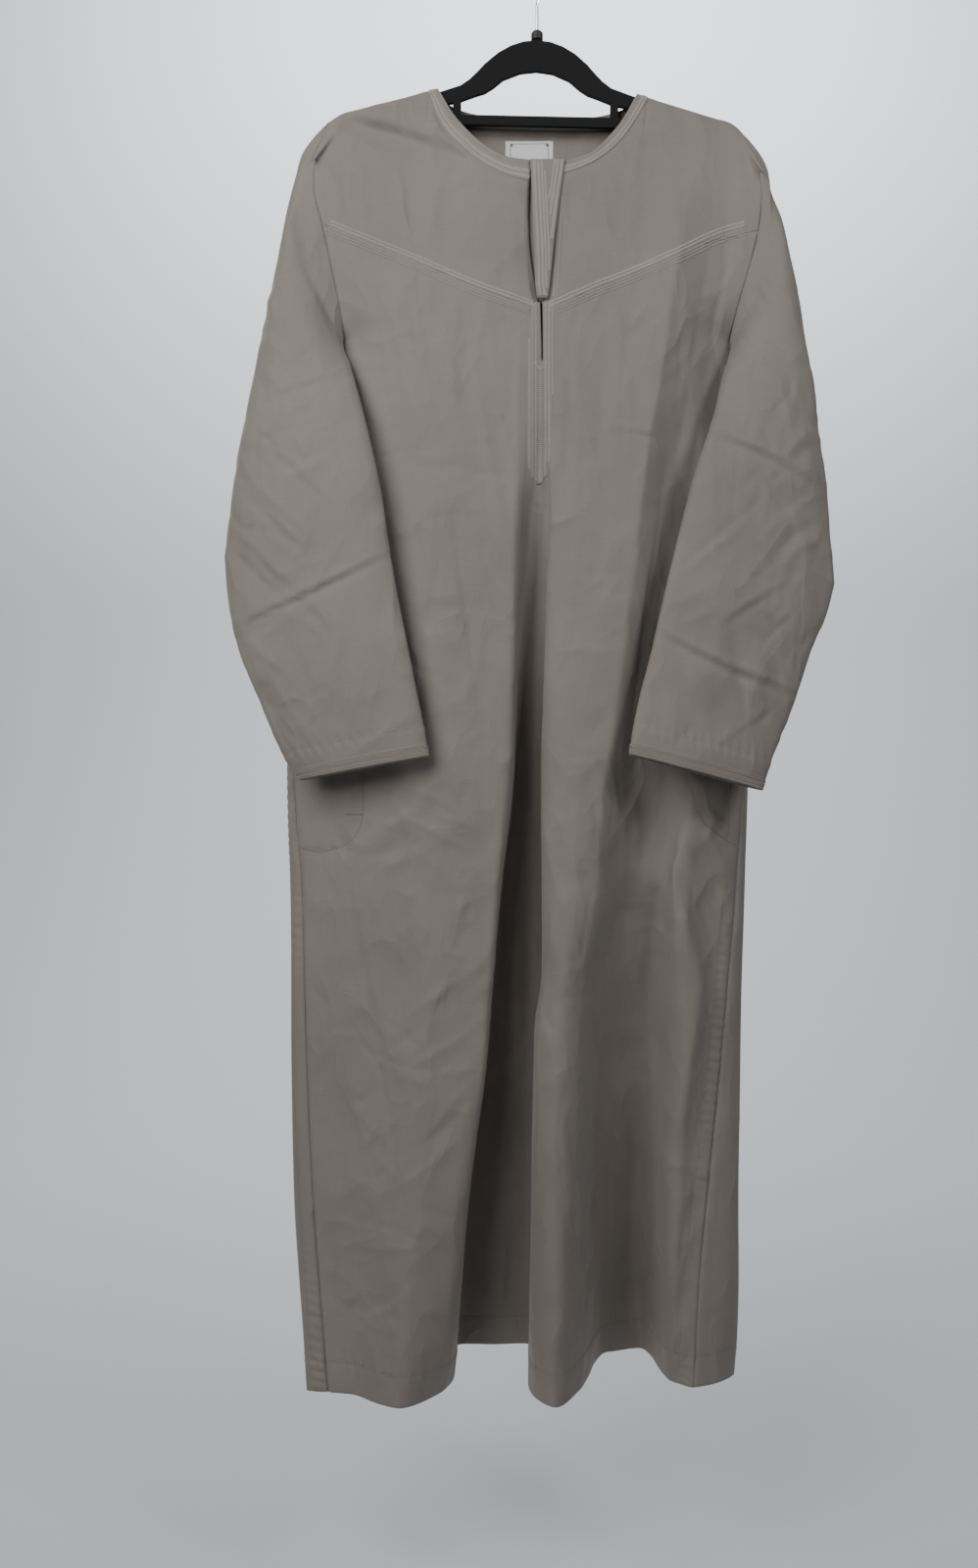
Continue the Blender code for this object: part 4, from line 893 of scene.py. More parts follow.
TAUPE = cloth("taupe_cloth", (0.203, 0.179, 0.158), (0.242, 0.214, 0.190), 0.7, crinkle=0.6)
THREAD = cloth("taupe_thread", (0.37, 0.34, 0.30), (0.47, 0.435, 0.39), 0.5)
SEWING = cloth("taupe_sewing", (0.145, 0.127, 0.111), (0.185, 0.162, 0.142), 0.65)
CUFF_THREAD = cloth("cuff_thread", (0.27, 0.243, 0.215), (0.33, 0.30, 0.268), 0.55)
DARK_THREAD = cloth("dark_thread", (0.012, 0.012, 0.02), (0.03, 0.03, 0.045), 0.5)
WHITE = cloth("label_satin", (0.62, 0.62, 0.63), (0.74, 0.74, 0.75), 0.45)
FLOCK = smooth_stuff("black_flock", (0.0015, 0.0015, 0.002), (0.004, 0.004, 0.005), 0.95, scale=900.0,
                     bump=0.4,
                     sheen=0.02)
CHROME = smooth_stuff("chrome_wire", (0.62, 0.63, 0.65), (0.72, 0.73, 0.75), 0.18, metallic=1.0, scale=120.0)
PLUG = smooth_stuff("black_plug", (0.008, 0.008, 0.009), (0.02, 0.02, 0.022), 0.5, scale=200.0)

# ---- Creases, in the camera's picture --------------------------------------------------------------------
# height in millimetres, negative for a trough; half width in picture pixels; lean of the wider side; line

# Lines of the picture, and how far the cloth stands out at distances to the right of each line
FRONT_FOLDS = (
    (((350, 109), (366, 116), (385, 122), (419, 133), (450, 142), (476, 150), (492, 158)),
     ((-28, 0), (-18, -3.2), (-8, -6.8), (0, 2.6), (9, 2.8), (22, 0.6), (30, 0))),
    (((699, 150), (696, 177), (691, 258), (680, 330), (670, 399), (661, 443), (651, 520), (642, 610),
      (629, 702),
      (612, 807), (604, 920), (598, 1002)),
     ((-62, 0), (-36, 0.5), (-10, 5.5), (0, 8.0), (16, 1.5), (34, -6.0), (52, -8.5), (70, -7), (94, 0))),
    (((551, 462), (549, 500), (548, 560), (547, 650), (545, 760), (544, 860), (545, 940), (549, 1010),
      (555, 1060)),
     ((-52, 0), (-34, 3.5), (-25, 4.2), (-8, -4.5), (0, -7.5), (5, -6.0), (16, -1.6), (28, 0))),
    (((604, 880), (596, 960), (588, 1040), (583, 1110), (582, 1160), (588, 1230), (590, 1290), (582, 1370)),
     ((-50, 0), (-20, 2.0), (0, 6.5), (22, 0.5), (46, -6.5), (60, -8.0), (78, -5.0), (100, 0))),
    (((686, 860), (690, 915), (702, 960), (712, 1006), (707, 1063), (696, 1120), (686, 1171), (684, 1233),
      (681, 1299), (676, 1370)),
     ((-40, 0), (-14, 3.0), (0, 6.0), (12, 0.0), (24, -4.0), (36, -2.0), (50, 0))),
)

FRONT_CREASES = (
    (-1.4, 4.5, 0.3, ((414, 196), (419, 226), (425, 258), (428, 290), (434, 335), (440, 380), (447, 420),
                      (461, 451))),
    (-1.5, 4.0, 0.4, ((455, 500), (463, 521), (468, 571), (476, 621), (485, 693), (494, 740))),
    (0.9, 3.0, 0.0, ((470, 530), (482, 560), (504, 600), (518, 657), (522, 700))),
    (0.8, 3.0, 0.0, ((498, 315), (501, 345), (505, 371), (520, 398))),
    (1.2, 4.5, 0.3, ((402, 300), (406, 340), (412, 390), (418, 440))),
    (-1.2, 5.0, 0.0, ((470, 320), (478, 370), (487, 430), (494, 480))),
    (1.1, 4.0, 0.2, ((450, 310), (456, 350), (463, 400), (470, 445))),
    (-1.1, 4.5, 0.0, ((618, 320), (616, 370), (612, 430), (606, 500))),
    (1.0, 4.5, 0.2, ((634, 315), (632, 360), (628, 420), (622, 490))),
    (-0.9, 4.0, 0.0, ((382, 330), (388, 370), (394, 420), (402, 470))),
    (-0.8, 4.0, 0.0, ((508, 271), (513, 300), (517, 335))),
    (0.7, 2.2, 0.2, ((459, 452), (485, 448), (512, 445))),
    (-0.6, 2.2, 0.0, ((386, 468), (400, 462), (420, 458))),
    (0.5, 2.0, 0.0, ((408, 531), (422, 532), (436, 536))),
    (0.6, 2.2, 0.0, ((366, 343), (380, 348), (398, 351))),
    (-1.6, 9.0, 0.3, ((449, 490), (445, 586), (436, 643), (424, 690), (420, 740))),
    (1.0, 4.0, 0.0, ((690, 470), (684, 540), (672, 610), (662, 690), (650, 760))),
    (-1.0, 4.0, 0.0, ((682, 455), (674, 530), (662, 600), (651, 690), (640, 770))),
    (0.9, 3.0, 0.2, ((536, 520), (535, 600), (532, 690), (529, 780))),
    (1.8, 7.0, 0.0, ((470, 330), (484, 400), (500, 470), (512, 540), (520, 620))),
    (1.0, 2.4, 0.0, ((611, 441), (628, 434), (643, 438), (664, 443), (674, 466))),
    (-0.9, 2.2, 0.0, ((640, 440), (655, 447), (668, 450))),
    (0.7, 2.0, 0.0, ((659, 450), (667, 462), (672, 470))),
    (-1.6, 5.5, 0.4, ((569, 350), (575, 365), (582, 380), (580, 430), (576, 485))),
    (1.0, 5.0, 0.0, ((592, 330), (588, 365), (590, 420), (588, 520))),
    (1.4, 5.0, 0.3, ((530, 330), (528, 400), (527, 470), (524, 560), (521, 650))),
    (0.6, 2.4, 0.0, ((570, 777), (590, 781), (612, 775), (618, 768))),
    (-0.6, 2.4, 0.0, ((572, 617), (586, 621), (596, 619))),
    (0.8, 3.0, 0.0, ((463, 765), (480, 755), (498, 742))),
    (-1.2, 5.0, 0.2, ((346, 850), (355, 880), (357, 915), (363, 950), (372, 1002), (382, 1044), (388, 1091),
                      (397, 1135), (403, 1190), (402, 1240))),
    (0.8, 4.0, 0.0, ((362, 900), (371, 950), (380, 1002), (391, 1040), (397, 1080))),
    (-0.9, 3.0, 0.0, ((405, 945), (406, 985), (402, 1035))),
    (-2.0, 8.0, 0.3, ((366, 874), (390, 873), (426, 858), (440, 838), (444, 810))),
    (1.8, 9.0, 0.0, ((375, 850), (400, 842), (424, 826), (440, 800))),
    (1.2, 5.0, 0.0, ((405, 830), (430, 842), (460, 858), (485, 868))),
    (0.9, 4.0, 0.0, ((448, 832), (470, 840), (492, 843))),
    (1.1, 4.0, 0.3, ((497, 978), (475, 995), (450, 1011), (425, 1030), (403, 1046))),
    (1.0, 4.0, 0.3, ((498, 1033), (480, 1050), (460, 1066), (430, 1083), (404, 1096))),
    (0.9, 4.0, 0.3, ((490, 1095), (465, 1120), (442, 1150), (420, 1180))),
    (0.9, 4.0, 0.2, ((480, 1150), (452, 1178), (425, 1200), (385, 1222))),
    (-0.8, 4.0, 0.0, ((470, 1000), (440, 1035), (415, 1060), (390, 1075))),
    (-0.8, 4.0, 0.0, ((484, 1120), (455, 1150), (430, 1168), (405, 1180))),
    (0.6, 2.4, 0.0, ((320, 1058), (348, 1055), (378, 1059))),
    (0.7, 2.6, 0.2, ((327, 1272), (365, 1272), (408, 1276), (440, 1270), (464, 1271))),
    (0.5, 2.4, 0.0, ((325, 929), (350, 927), (378, 929))),
    (-0.7, 5.0, 0.0, ((330, 1310), (345, 1328), (372, 1340), (404, 1322), (432, 1290))),
    (0.6, 3.0, 0.0, ((330, 1040), (350, 1028), (372, 1015))),
    (0.7, 4.0, 0.0, ((360, 1125), (375, 1145), (392, 1166))),
    (1.0, 5.0, 0.3, ((563, 880), (568, 921), (560, 955), (556, 985), (549, 1044), (548, 1110))),
    (-1.2, 5.0, 0.0, ((620, 900), (610, 960), (606, 1030), (612, 1090), (606, 1160), (600, 1230),
                      (594, 1310))),
    (1.0, 4.0, 0.2, ((640, 850), (636, 930), (628, 1000), (625, 1070), (631, 1140))),
    (-1.0, 4.0, 0.0, ((655, 860), (648, 930), (640, 1000), (636, 1080), (640, 1170))),
    (0.9, 4.0, 0.0, ((668, 880), (660, 950), (652, 1030), (650, 1110), (655, 1190))),
    (-1.0, 5.0, 0.0, ((650, 1180), (660, 1240), (655, 1300), (646, 1340))),
    (0.9, 4.0, 0.0, ((620, 1180), (626, 1240), (622, 1300), (616, 1350))),
    (-0.9, 4.0, 0.0, ((608, 1190), (602, 1260), (596, 1320), (590, 1370))),
    (-2.4, 8.0, 0.0, ((706, 930), (722, 985), (724, 1030), (714, 1090), (703, 1150), (698, 1210),
                      (693, 1280))),
    (2.2, 4.5, 0.2, ((712, 833), (722, 855), (736, 880), (750, 905))),
    (-2.0, 4.5, 0.0, ((700, 850), (716, 880), (734, 912), (746, 945))),
    (1.8, 4.0, 0.2, ((700, 880), (712, 905), (726, 935), (738, 970))),
    (-1.6, 4.0, 0.0, ((703, 915), (714, 950), (726, 985), (734, 1010))),
    (1.2, 3.5, 0.0, ((716, 960), (724, 990), (730, 1020), (728, 1050))),
    (-1.2, 5.0, 0.0, ((720, 815), (735, 830), (752, 846))),
    (0.8, 3.0, 0.0, ((646, 1325), (655, 1335), (668, 1356), (680, 1382))),
    (-0.8, 3.0, 0.0, ((653, 1320), (668, 1342), (682, 1362))),
    (0.6, 2.4, 0.0, ((690, 1330), (710, 1336), (735, 1331))),
)

YOKE_CREASES = (
    (2.6, 5.0, 0.0, ((375, 106), (405, 113), (430, 121), (452, 131))),
    (1.0, 3.5, 0.0, ((400, 104), (424, 108), (446, 118))),
    (-1.0, 3.0, 0.0, ((388, 112), (415, 117), (440, 126))),
    (1.8, 8.0, 0.0, ((380, 134), (420, 145), (460, 156), (500, 172))),
    (-0.9, 4.0, 0.0, ((414, 180), (416, 205), (419, 226), (425, 262))),
    (0.7, 4.0, 0.0, ((610, 172), (621, 182), (633, 198))),
    (-1.1, 5.0, 0.3, ((697, 172), (696, 205), (694, 230), (689, 262))),
    (1.0, 7.0, 0.0, ((640, 146), (679, 135), (704, 139), (728, 150))),
    (-0.9, 5.0, 0.0, ((650, 128), (690, 124), (722, 136))),
    (2.2, 5.0, 0.3, ((752, 160), (756, 190), (758, 225), (758, 262), (752, 300))),
    (-1.2, 5.0, 0.0, ((738, 165), (742, 200), (744, 240), (742, 290))),
    (-1.0, 7.0, 0.0, ((345, 190), (353, 210), (352, 232))),
    (0.8, 6.0, 0.0, ((366, 190), (372, 215), (370, 245))),
    (0.6, 3.0, 0.0, ((618, 205), (620, 235), (640, 262))),
    (-1.6, 7.0, 0.0, ((528, 195), (532, 230), (535, 265), (536, 296))),
    (-1.4, 7.0, 0.0, ((584, 180), (580, 215), (576, 250), (572, 290))),
)

SLEEVE_CREASES = {
    "left": (
        (-1.5, 2.6, 0.0, ((238, 632), (241, 642), (252, 672), (262, 700), (274, 724), (285, 745), (297, 770),
                          (308, 796))),
        (0.7, 3.5, 0.0, ((289, 252), (310, 243), (332, 238))),
        (-1.1, 3.5, 0.3, ((258, 417), (285, 404), (314, 394), (336, 388), (360, 384))),
        (0.8, 4.0, 0.0, ((256, 408), (285, 396), (314, 386), (345, 378))),
        (-0.8, 4.0, 0.0, ((245, 465), (266, 450), (289, 440), (318, 434))),
        (1.9, 3.0, 0.3, ((236, 637), (262, 625), (304, 605), (345, 586), (372, 572), (397, 560))),
        (-1.9, 4.5, 0.3, ((236, 645), (264, 632), (306, 612), (347, 593), (374, 580), (399, 568))),
        (1.4, 5.0, 0.0, ((236, 535), (262, 562), (285, 582), (302, 598))),
        (-1.4, 5.0, 0.0, ((232, 555), (252, 578), (272, 598), (284, 610))),
        (1.1, 5.0, 0.2, ((246, 480), (272, 505), (302, 532), (330, 562))),
        (-1.0, 4.5, 0.0, ((244, 500), (266, 520), (290, 546), (314, 570))),
        (0.9, 4.0, 0.0, ((260, 430), (290, 460), (318, 488), (345, 520))),
        (-0.8, 4.0, 0.0, ((270, 455), (300, 482), (330, 512))),
        (0.8, 3.0, 0.0, ((328, 425), (344, 438), (356, 450))),
        (-0.8, 3.0, 0.0, ((334, 448), (345, 460), (355, 478))),
        (-0.9, 4.0, 0.0, ((354, 508), (366, 518), (374, 532))),
        (1.0, 4.5, 0.0, ((252, 650), (268, 668), (290, 684))),
        (-0.9, 4.0, 0.0, ((304, 612), (322, 632), (342, 655))),
        (0.7, 3.5, 0.0, ((353, 676), (362, 692), (370, 712))),
        (0.7, 3.5, 0.0, ((358, 580), (375, 600), (392, 622))),
        (-0.8, 4.0, 0.0, ((300, 660), (308, 690), (322, 720))),
        (0.9, 3.5, 0.0, ((346, 780), (380, 756), (408, 738), (432, 724))),
        (-1.4, 5.0, 0.0, ((262, 690), (276, 718), (292, 745), (308, 762))),
        (1.2, 5.0, 0.0, ((272, 680), (288, 710), (304, 736), (322, 752))),
        (0.8, 4.0, 0.0, ((308, 730), (320, 716), (334, 708))),
        (-0.6, 4.0, 0.0, ((274, 340), (300, 352), (330, 372))),
        (0.5, 4.0, 0.0, ((282, 300), (310, 312), (340, 330))),
    ),
    "right": (
        (0.9, 3.5, 0.0, ((768, 276), (784, 284), (804, 293))),
        (0.7, 3.5, 0.0, ((736, 374), (764, 368), (794, 368))),
        (1.8, 3.0, 0.3, ((722, 435), (750, 446), (778, 457), (801, 468), (822, 482), (842, 494))),
        (-1.7, 4.5, 0.3, ((720, 443), (748, 454), (776, 465), (799, 477), (820, 491), (840, 503))),
        (1.4, 4.0, 0.0, ((799, 466), (812, 452), (828, 436))),
        (-1.0, 4.0, 0.0, ((806, 474), (818, 462), (832, 452))),
        (-0.9, 3.5, 0.0, ((686, 585), (710, 566), (732, 548), (756, 526), (778, 508))),
        (0.8, 3.5, 0.0, ((690, 590), (716, 570), (740, 550), (768, 524))),
        (0.8, 3.5, 0.0, ((676, 620), (706, 607), (738, 592))),
        (1.2, 3.5, 0.0, ((730, 636), (766, 612), (800, 590))),
        (-1.1, 3.5, 0.0, ((736, 641), (770, 618), (804, 597))),
        (1.4, 5.0, 0.0, ((794, 640), (812, 605), (830, 572), (846, 545))),
        (-1.5, 5.0, 0.0, ((800, 628), (820, 592), (836, 560), (848, 532))),
        (1.2, 4.5, 0.0, ((790, 580), (812, 562), (840, 545))),
        (-1.2, 4.5, 0.0, ((784, 572), (810, 548), (838, 528))),
        (1.0, 4.0, 0.0, ((770, 560), (796, 530), (826, 510))),
        (1.9, 3.0, 0.3, ((668, 636), (690, 649), (714, 662), (740, 675), (762, 684), (788, 694), (812, 704))),
        (-1.7, 4.5, 0.3, ((667, 645), (689, 658), (713, 671), (739, 684), (761, 693), (786, 703),
                          (808, 712))),
        (-2.0, 8.0, 0.0, ((748, 640), (752, 670), (758, 700), (764, 728))),
        (1.6, 7.0, 0.0, ((766, 640), (772, 668), (780, 692), (790, 716))),
        (-1.5, 8.0, 0.0, ((686, 690), (696, 708), (708, 726), (716, 742))),
        (1.2, 7.0, 0.0, ((704, 684), (716, 704), (730, 724))),
        (1.0, 3.5, 0.0, ((733, 758), (760, 740), (794, 717))),
        (-0.8, 3.0, 0.0, ((686, 764), (697, 752), (710, 738))),
        (-0.9, 5.0, 0.0, ((770, 640), (786, 660), (802, 676))),
        (0.8, 4.0, 0.0, ((688, 640), (712, 630), (736, 622))),
        (-1.0, 6.0, 0.0, ((760, 560), (770, 580), (776, 600))),
        (-0.6, 4.0, 0.0, ((756, 440), (752, 480), (745, 540))),
        (0.5, 4.0, 0.0, ((790, 300), (778, 350), (775, 400))),
    ),
}

BACK_CREASES = (
    (-2.2, 9.0, 0.3, ((452, 300), (448, 420), (455, 560), (446, 700), (450, 840))),
    (2.4, 11.0, 0.2, ((600, 330), (606, 480), (598, 640), (606, 800), (600, 960))),
    (-1.8, 8.0, 0.0, ((670, 290), (662, 420), (668, 560), (660, 700))),
    (2.0, 9.0, 0.3, ((390, 420), (384, 600), (392, 780), (380, 960), (386, 1120))),
    (0.9, 2.6, 0.2, ((335, 452), (420, 449), (520, 453), (620, 448), (705, 451))),
    (0.9, 2.8, 0.2, ((312, 930), (400, 927), (500, 932), (610, 928), (735, 930))),
    (-0.8, 3.0, 0.0, ((318, 1270), (420, 1274), (540, 1270), (640, 1275), (735, 1270))),
    (1.2, 4.0, 0.3, ((430, 170), (470, 196), (520, 212), (580, 208), (640, 186))),
    (-1.4, 6.0, 0.0, ((400, 190), (450, 226), (520, 246), (600, 238), (668, 206))),
    (1.3, 5.0, 0.0, ((470, 980), (500, 1040), (488, 1110), (500, 1180))),
    (-1.3, 5.0, 0.0, ((640, 1000), (622, 1080), (634, 1150), (620, 1230))),
    (1.1, 4.5, 0.0, ((356, 700), (390, 735), (430, 762), (470, 776))),
    (-1.0, 4.0, 0.0, ((690, 640), (660, 690), (618, 720), (585, 730))),
    (1.0, 4.0, 0.0, ((700, 820), (668, 850), (630, 866))),
    (-1.0, 4.0, 0.0, ((330, 560), (372, 590), (410, 604))),
    (2.6, 6.0, 0.3, ((466, 1300), (480, 1312), (492, 1330), (500, 1366))),
    (-2.4, 6.0, 0.0, ((478, 1292), (496, 1306), (508, 1330), (512, 1360))),
    (2.4, 5.0, 0.0, ((500, 1290), (516, 1306), (526, 1332), (530, 1366))),
    (1.6, 4.0, 0.0, ((470, 1342), (492, 1350), (516, 1346), (536, 1350))),
    (-2.0, 5.0, 0.0, ((530, 1296), (540, 1318), (546, 1344))),
)

# ---- Cloth panels ----------------------------------------------------------------------------------------

CLOTH_WALL = 0.8
HEM_HEIGHT = 33.0
CUFF_HEM = 33.0
SEAM_WIDTH = 17.0
BAND_WIDTH = 17.0
# Meshes are finer near the seams and hems: how far from the edge, and the step there before it is doubled
SEAM_ZONE = 26
HEM_ZONE = 40
EDGE_STEP = 4.6
SHOULDER_ZONE = (0, 9, 2.8)
# How far from an edge the creases fade, and how far below the armhole the side seam has its full relief
EDGE_FADE = 22
SEAM_START = 60
# Pocket bags: inner edge x, top z and foot z; their round corners and how far they are behind the front
POCKET_EDGES = {"left": (-188, -768, -993), "right": (166, -768, -990)}
POCKET_CORNER = 30
POCKET_GAP = {"left": 1.6, "right": 2.8}
# Their stitched outlines, in the picture
POCKET_LINES = {
    "left": ((370, 770), (370.5, 812), (370, 833), (366, 847), (359, 857), (350, 863), (341, 866), (322, 869),
             (310, 866), (303, 862)),
    "right": ((706, 806), (709, 822), (717, 838), (731, 850), (744, 859), (753, 863)),
}
LABEL = {"left": -35.0, "right": 19.0, "top": -199.5, "foot": -228.0}


def last_part(end, zone):
    """The last stretch before an edge, where the mesh is finer."""
    return end - zone, end, EDGE_STEP


def from_edge(grid, axis, last):
    """Each point's distance from the grid's first or last row or column, measured along the cloth."""
    steps = np.linalg.norm(np.diff(grid, axis=axis), axis=2)
    if last:
        steps = np.flip(steps, axis)
    total = np.cumsum(np.concatenate([np.zeros_like(np.take(steps, [0], axis)), steps], axis=axis), axis=axis)
    return np.flip(total, axis) if last else total


def groove(distance, depth, width):
    return -depth * np.exp(-((distance / width) ** 2))


def step_down(values, edge, width):
    """From 1 below the edge to 0 above it, within about this width."""
    return 0.5 - 0.5 * np.tanh((values - edge) / width)


def hem(grid, seed):
    """A turned hem: twice as thick below its line of stitches, with small puckers along it."""
    rise = from_edge(grid, 0, True)
    along = from_edge(grid, 1, False)
    below = step_down(rise, HEM_HEIGHT, 1.2)
    random = np.random.default_rng(seed)
    swing = np.sin(along * 2 * math.pi / 13 + 2.2 * np.sin(along / random.uniform(38, 52)))
    pucker = 0.8 * swing * np.exp(-(((rise - HEM_HEIGHT) / 9) ** 2))
    return 0.3 * below + groove(rise - HEM_HEIGHT, 0.55, 1.6) + pucker, CLOTH_WALL * (1 + below)


def seam_band(distance, height, seed, depth=0.75):
    """A felled side seam: a fold at its edge, a line of stitches further in and puckers across it."""
    random = np.random.default_rng(seed)
    phase = height * 2 * math.pi / 10.5 + 2.6 * np.sin(height / 61 + random.uniform(0, 6))
    phase += 1.3 * np.sin(height / 23)
    strength = depth * (0.55 + 0.45 * np.sin(height / 83 + random.uniform(0, 6)))
    inside = step_down(distance, SEAM_WIDTH, 1.5)
    return (
        groove(distance, 1.6, 1.7)
        + groove(distance - SEAM_WIDTH, 0.5, 1.8)
        + inside * (0.25 + strength * np.sin(phase - distance / 9))
    )


class Face:
    """The outer face of some cloth, to lay stitches on."""

    # About how far the cloth is from the camera
    reach = 1430.0
    # Small steps aside, tried in turn where a ray slips through a gap
    asides = ((0, 0, 0), (0, 0, -1.2), (0, 0, 1.2), (1.5, 0, 0), (-1.5, 0, 0), (0, 0, -4), (0, 0, 4))

    def __init__(self, *grids):
        points, faces = [], []
        for grid in grids:
            rows, columns = grid.shape[:2]
            r, c = np.meshgrid(np.arange(rows - 1), np.arange(columns - 1), indexing="ij")
            corner = r.ravel() * columns + c.ravel() + sum(len(p) for p in points)
            faces.append(np.stack([corner, corner + 1, corner + columns + 1, corner + columns], 1))
            points.append(grid.reshape(-1, 3))
        self.tree = BVHTree.FromPolygons(np.concatenate(points).tolist(), np.concatenate(faces).tolist())

    def hit(self, start, way):
        """The point that a ray meets first, and the outward direction there."""
        for step in self.asides:
            place, normal, _, _ = self.tree.ray_cast(Vector(start) + Vector(step), Vector(way))
            if place is not None:
                break
        else:
            place, normal, _, _ = self.tree.find_nearest(Vector(start) + Vector(way) * self.reach)
            step = (0, 0, 0)
        if normal.dot(Vector(way)) > 0:
            normal = -normal
        return np.array(place) - np.array(step), np.array(normal)

    def pictured(self, column, row):
        """The point seen at a place of the camera's picture."""
        way = Vector(((column - MIDDLE[0]) / FOCAL, 1, (MIDDLE[1] - row) / FOCAL))
        return self.hit(EYE, way.normalized())

    def ahead(self, x, z):
        """The point seen straight from the front."""
        return self.hit((x, -400.0, z), (0, 1, 0))


# Front

front_coarse = front_panel()
front_along, front_down = arc(front_coarse, 1), arc(front_coarse, 0)
front_places = list(column_places(FRONT_STRIPS))
slit_at = [front_along[front_places.index(line)] for line in OPENING]
front_columns = doubled(spaced(front_along[-1], 6.6, (last_part(front_along[-1], SEAM_ZONE),), slit_at))
front_rows = doubled(spaced(front_down[-1], 6.9, (last_part(front_down[-1], HEM_ZONE),)))
front_grid = refined(front_coarse, front_rows, front_columns, tame=True)
slit_columns = [int(np.argmin(abs(front_columns - at))) for at in slit_at]


def slit(r, c):
    return (slit_columns[0] <= c) & (c < slit_columns[1]) & (front_grid[r + 2, c, 2] > SLIT_FOOT - 2)


def pocket_zone(grid, side):
    """How far each point of the front is inside the pocket's outline, in millimetres."""
    inner, top, foot = POCKET_EDGES[side]
    sign = 1 if side == "left" else -1
    across = (inner - grid[..., 0]) * sign
    return np.minimum(np.minimum(across, grid[..., 2] - foot), top - grid[..., 2])


column, row = seen(front_grid)
front_out = creased(column, row, FRONT_CREASES) + creased(column, row, YOKE_CREASES)
front_out += folded(column, row, FRONT_FOLDS)
strewn = small_creases(3, 220, (310, 250, 745, 1400), (72, 84, 96, 108, 128, 52, 8, -10), (0.2, 0.6),
                       (2.2, 5.0),
                       (24, 100))
strewn += small_creases(4, 150, (560, 780, 745, 1380), (80, 88, 94, 100), (0.35, 0.95), (2.2, 4.6), (36, 130))
strewn += small_creases(5, 90, (320, 780, 500, 1380), (128, 140, 150, 60, 20), (0.25, 0.75), (2.2, 5.0),
                        (24, 90))
strewn += small_creases(6, 50, (360, 320, 520, 760), (78, 86, 100, 40, 0), (0.25, 0.7), (2.2, 4.4), (24, 90))
front_out += creased(column, row, strewn) + waves(column, row, 11, 0.55, 120)
seam_left, seam_right = from_edge(front_grid, 1, False), from_edge(front_grid, 1, True)
edge_fade = np.clip(np.minimum(seam_left, seam_right) / EDGE_FADE, 0, 1)
front_out *= edge_fade
lower = front_grid[..., 2] < ARMHOLE_FOOT
band = seam_band(seam_right, front_grid[..., 2], 21) * lower
front_out += band * np.clip((ARMHOLE_FOOT - front_grid[..., 2]) / SEAM_START, 0, 1)
front_out += groove(seam_left, 1.5, 1.8) * lower
hem_out, front_wall = hem(front_grid, 31)
front_out += hem_out
for side, line in POCKET_LINES.items():
    front_out += 0.35 * step_down(-pocket_zone(front_grid, side), 0, 1.5)
    gap, share = nearest(column, row, line)
    puckers = 0.5 + 0.5 * np.sin(share * (52 if side == "left" else 22) + 2 * np.sin(share * 17))
    pulled = 1.3 * np.exp(-((gap / 2.6) ** 2)) + 1.3 * puckers * np.exp(-(((abs(gap) - 5) / 4) ** 2))
    front_out -= pulled * edge_fade
front_cloth, front_grid = panel("front_cloth", front_grid, front_out, front_wall, skip=slit)
dress(front_cloth, TAUPE, "front_body")

# Yokes

yoke_grids = {}
for side in ("left", "right"):
    coarse = yoke_panel(side)
    down = doubled(spaced(arc(coarse, 0)[-1], 6.2, (SHOULDER_ZONE,)))
    grid = refined(coarse, down, doubled(spaced(arc(coarse, 1)[-1], 6.2)))
    column, row = seen(grid)
    out = creased(column, row, YOKE_CREASES) + creased(column, row, FRONT_CREASES)
    out += folded(column, row, FRONT_FOLDS)
    out += creased(column, row, small_creases(7, 60, (335, 105, 770, 305), (15, 35, 75, 100, 150),
                                              (0.15, 0.45),
                                              (2.4, 5), (20, 70)))
    out += waves(column, row, 11, 0.55, 120)
    out += groove(from_edge(grid, 1, side == "left"), 3.2 if side == "left" else 1.2, 8)
    upper_fade = np.clip(from_edge(grid, 0, False) / 12, 0, 1)
    out *= upper_fade * np.clip(from_edge(grid, 1, side == "right") / 20, 0, 1)
    yoke_cloth, yoke_grids[side] = panel("yoke_cloth_" + side, grid, out, CLOTH_WALL)
    dress(yoke_cloth, TAUPE, "front_yoke_" + side)

# Back

back_coarse = back_panel()
back_along, back_down = arc(back_coarse, 1), arc(back_coarse, 0)
back_ends = ((0, SEAM_ZONE, EDGE_STEP), last_part(back_along[-1], SEAM_ZONE))
back_columns = doubled(spaced(back_along[-1], 7.6, back_ends))
back_rows = doubled(spaced(back_down[-1], 7.6, (SHOULDER_ZONE, last_part(back_down[-1], HEM_ZONE))))
back_grid = refined(back_coarse, back_rows, back_columns, tame=True)
column, row = seen(back_grid)
back_out = creased(column, row, BACK_CREASES)
strewn = small_creases(13, 170, (310, 150, 745, 1400), (76, 88, 100, 120, 45, 5, -12), (0.2, 0.7), (2.8, 6),
                       (35, 130))
back_out += creased(column, row, strewn) + waves(column, row, 17, 0.9, 150)
seam_right, seam_left = from_edge(back_grid, 1, False), from_edge(back_grid, 1, True)
edge_fade = np.clip(np.minimum(seam_left, seam_right) / EDGE_FADE, 0, 1)
back_out *= edge_fade * np.clip(from_edge(back_grid, 0, False) / 14, 0, 1)
lower = back_grid[..., 2] < ARMHOLE_FOOT
start = np.clip((ARMHOLE_FOOT - back_grid[..., 2]) / SEAM_START, 0, 1)
back_out += (seam_band(seam_left, back_grid[..., 2], 22, 0.6) + groove(seam_right, 1.6, 1.7)) * lower * start
hem_out, back_wall = hem(back_grid, 32)
back_out += hem_out
back_cloth, back_grid = panel("back_cloth", back_grid, back_out, back_wall)
dress(back_cloth, TAUPE, "back_body")

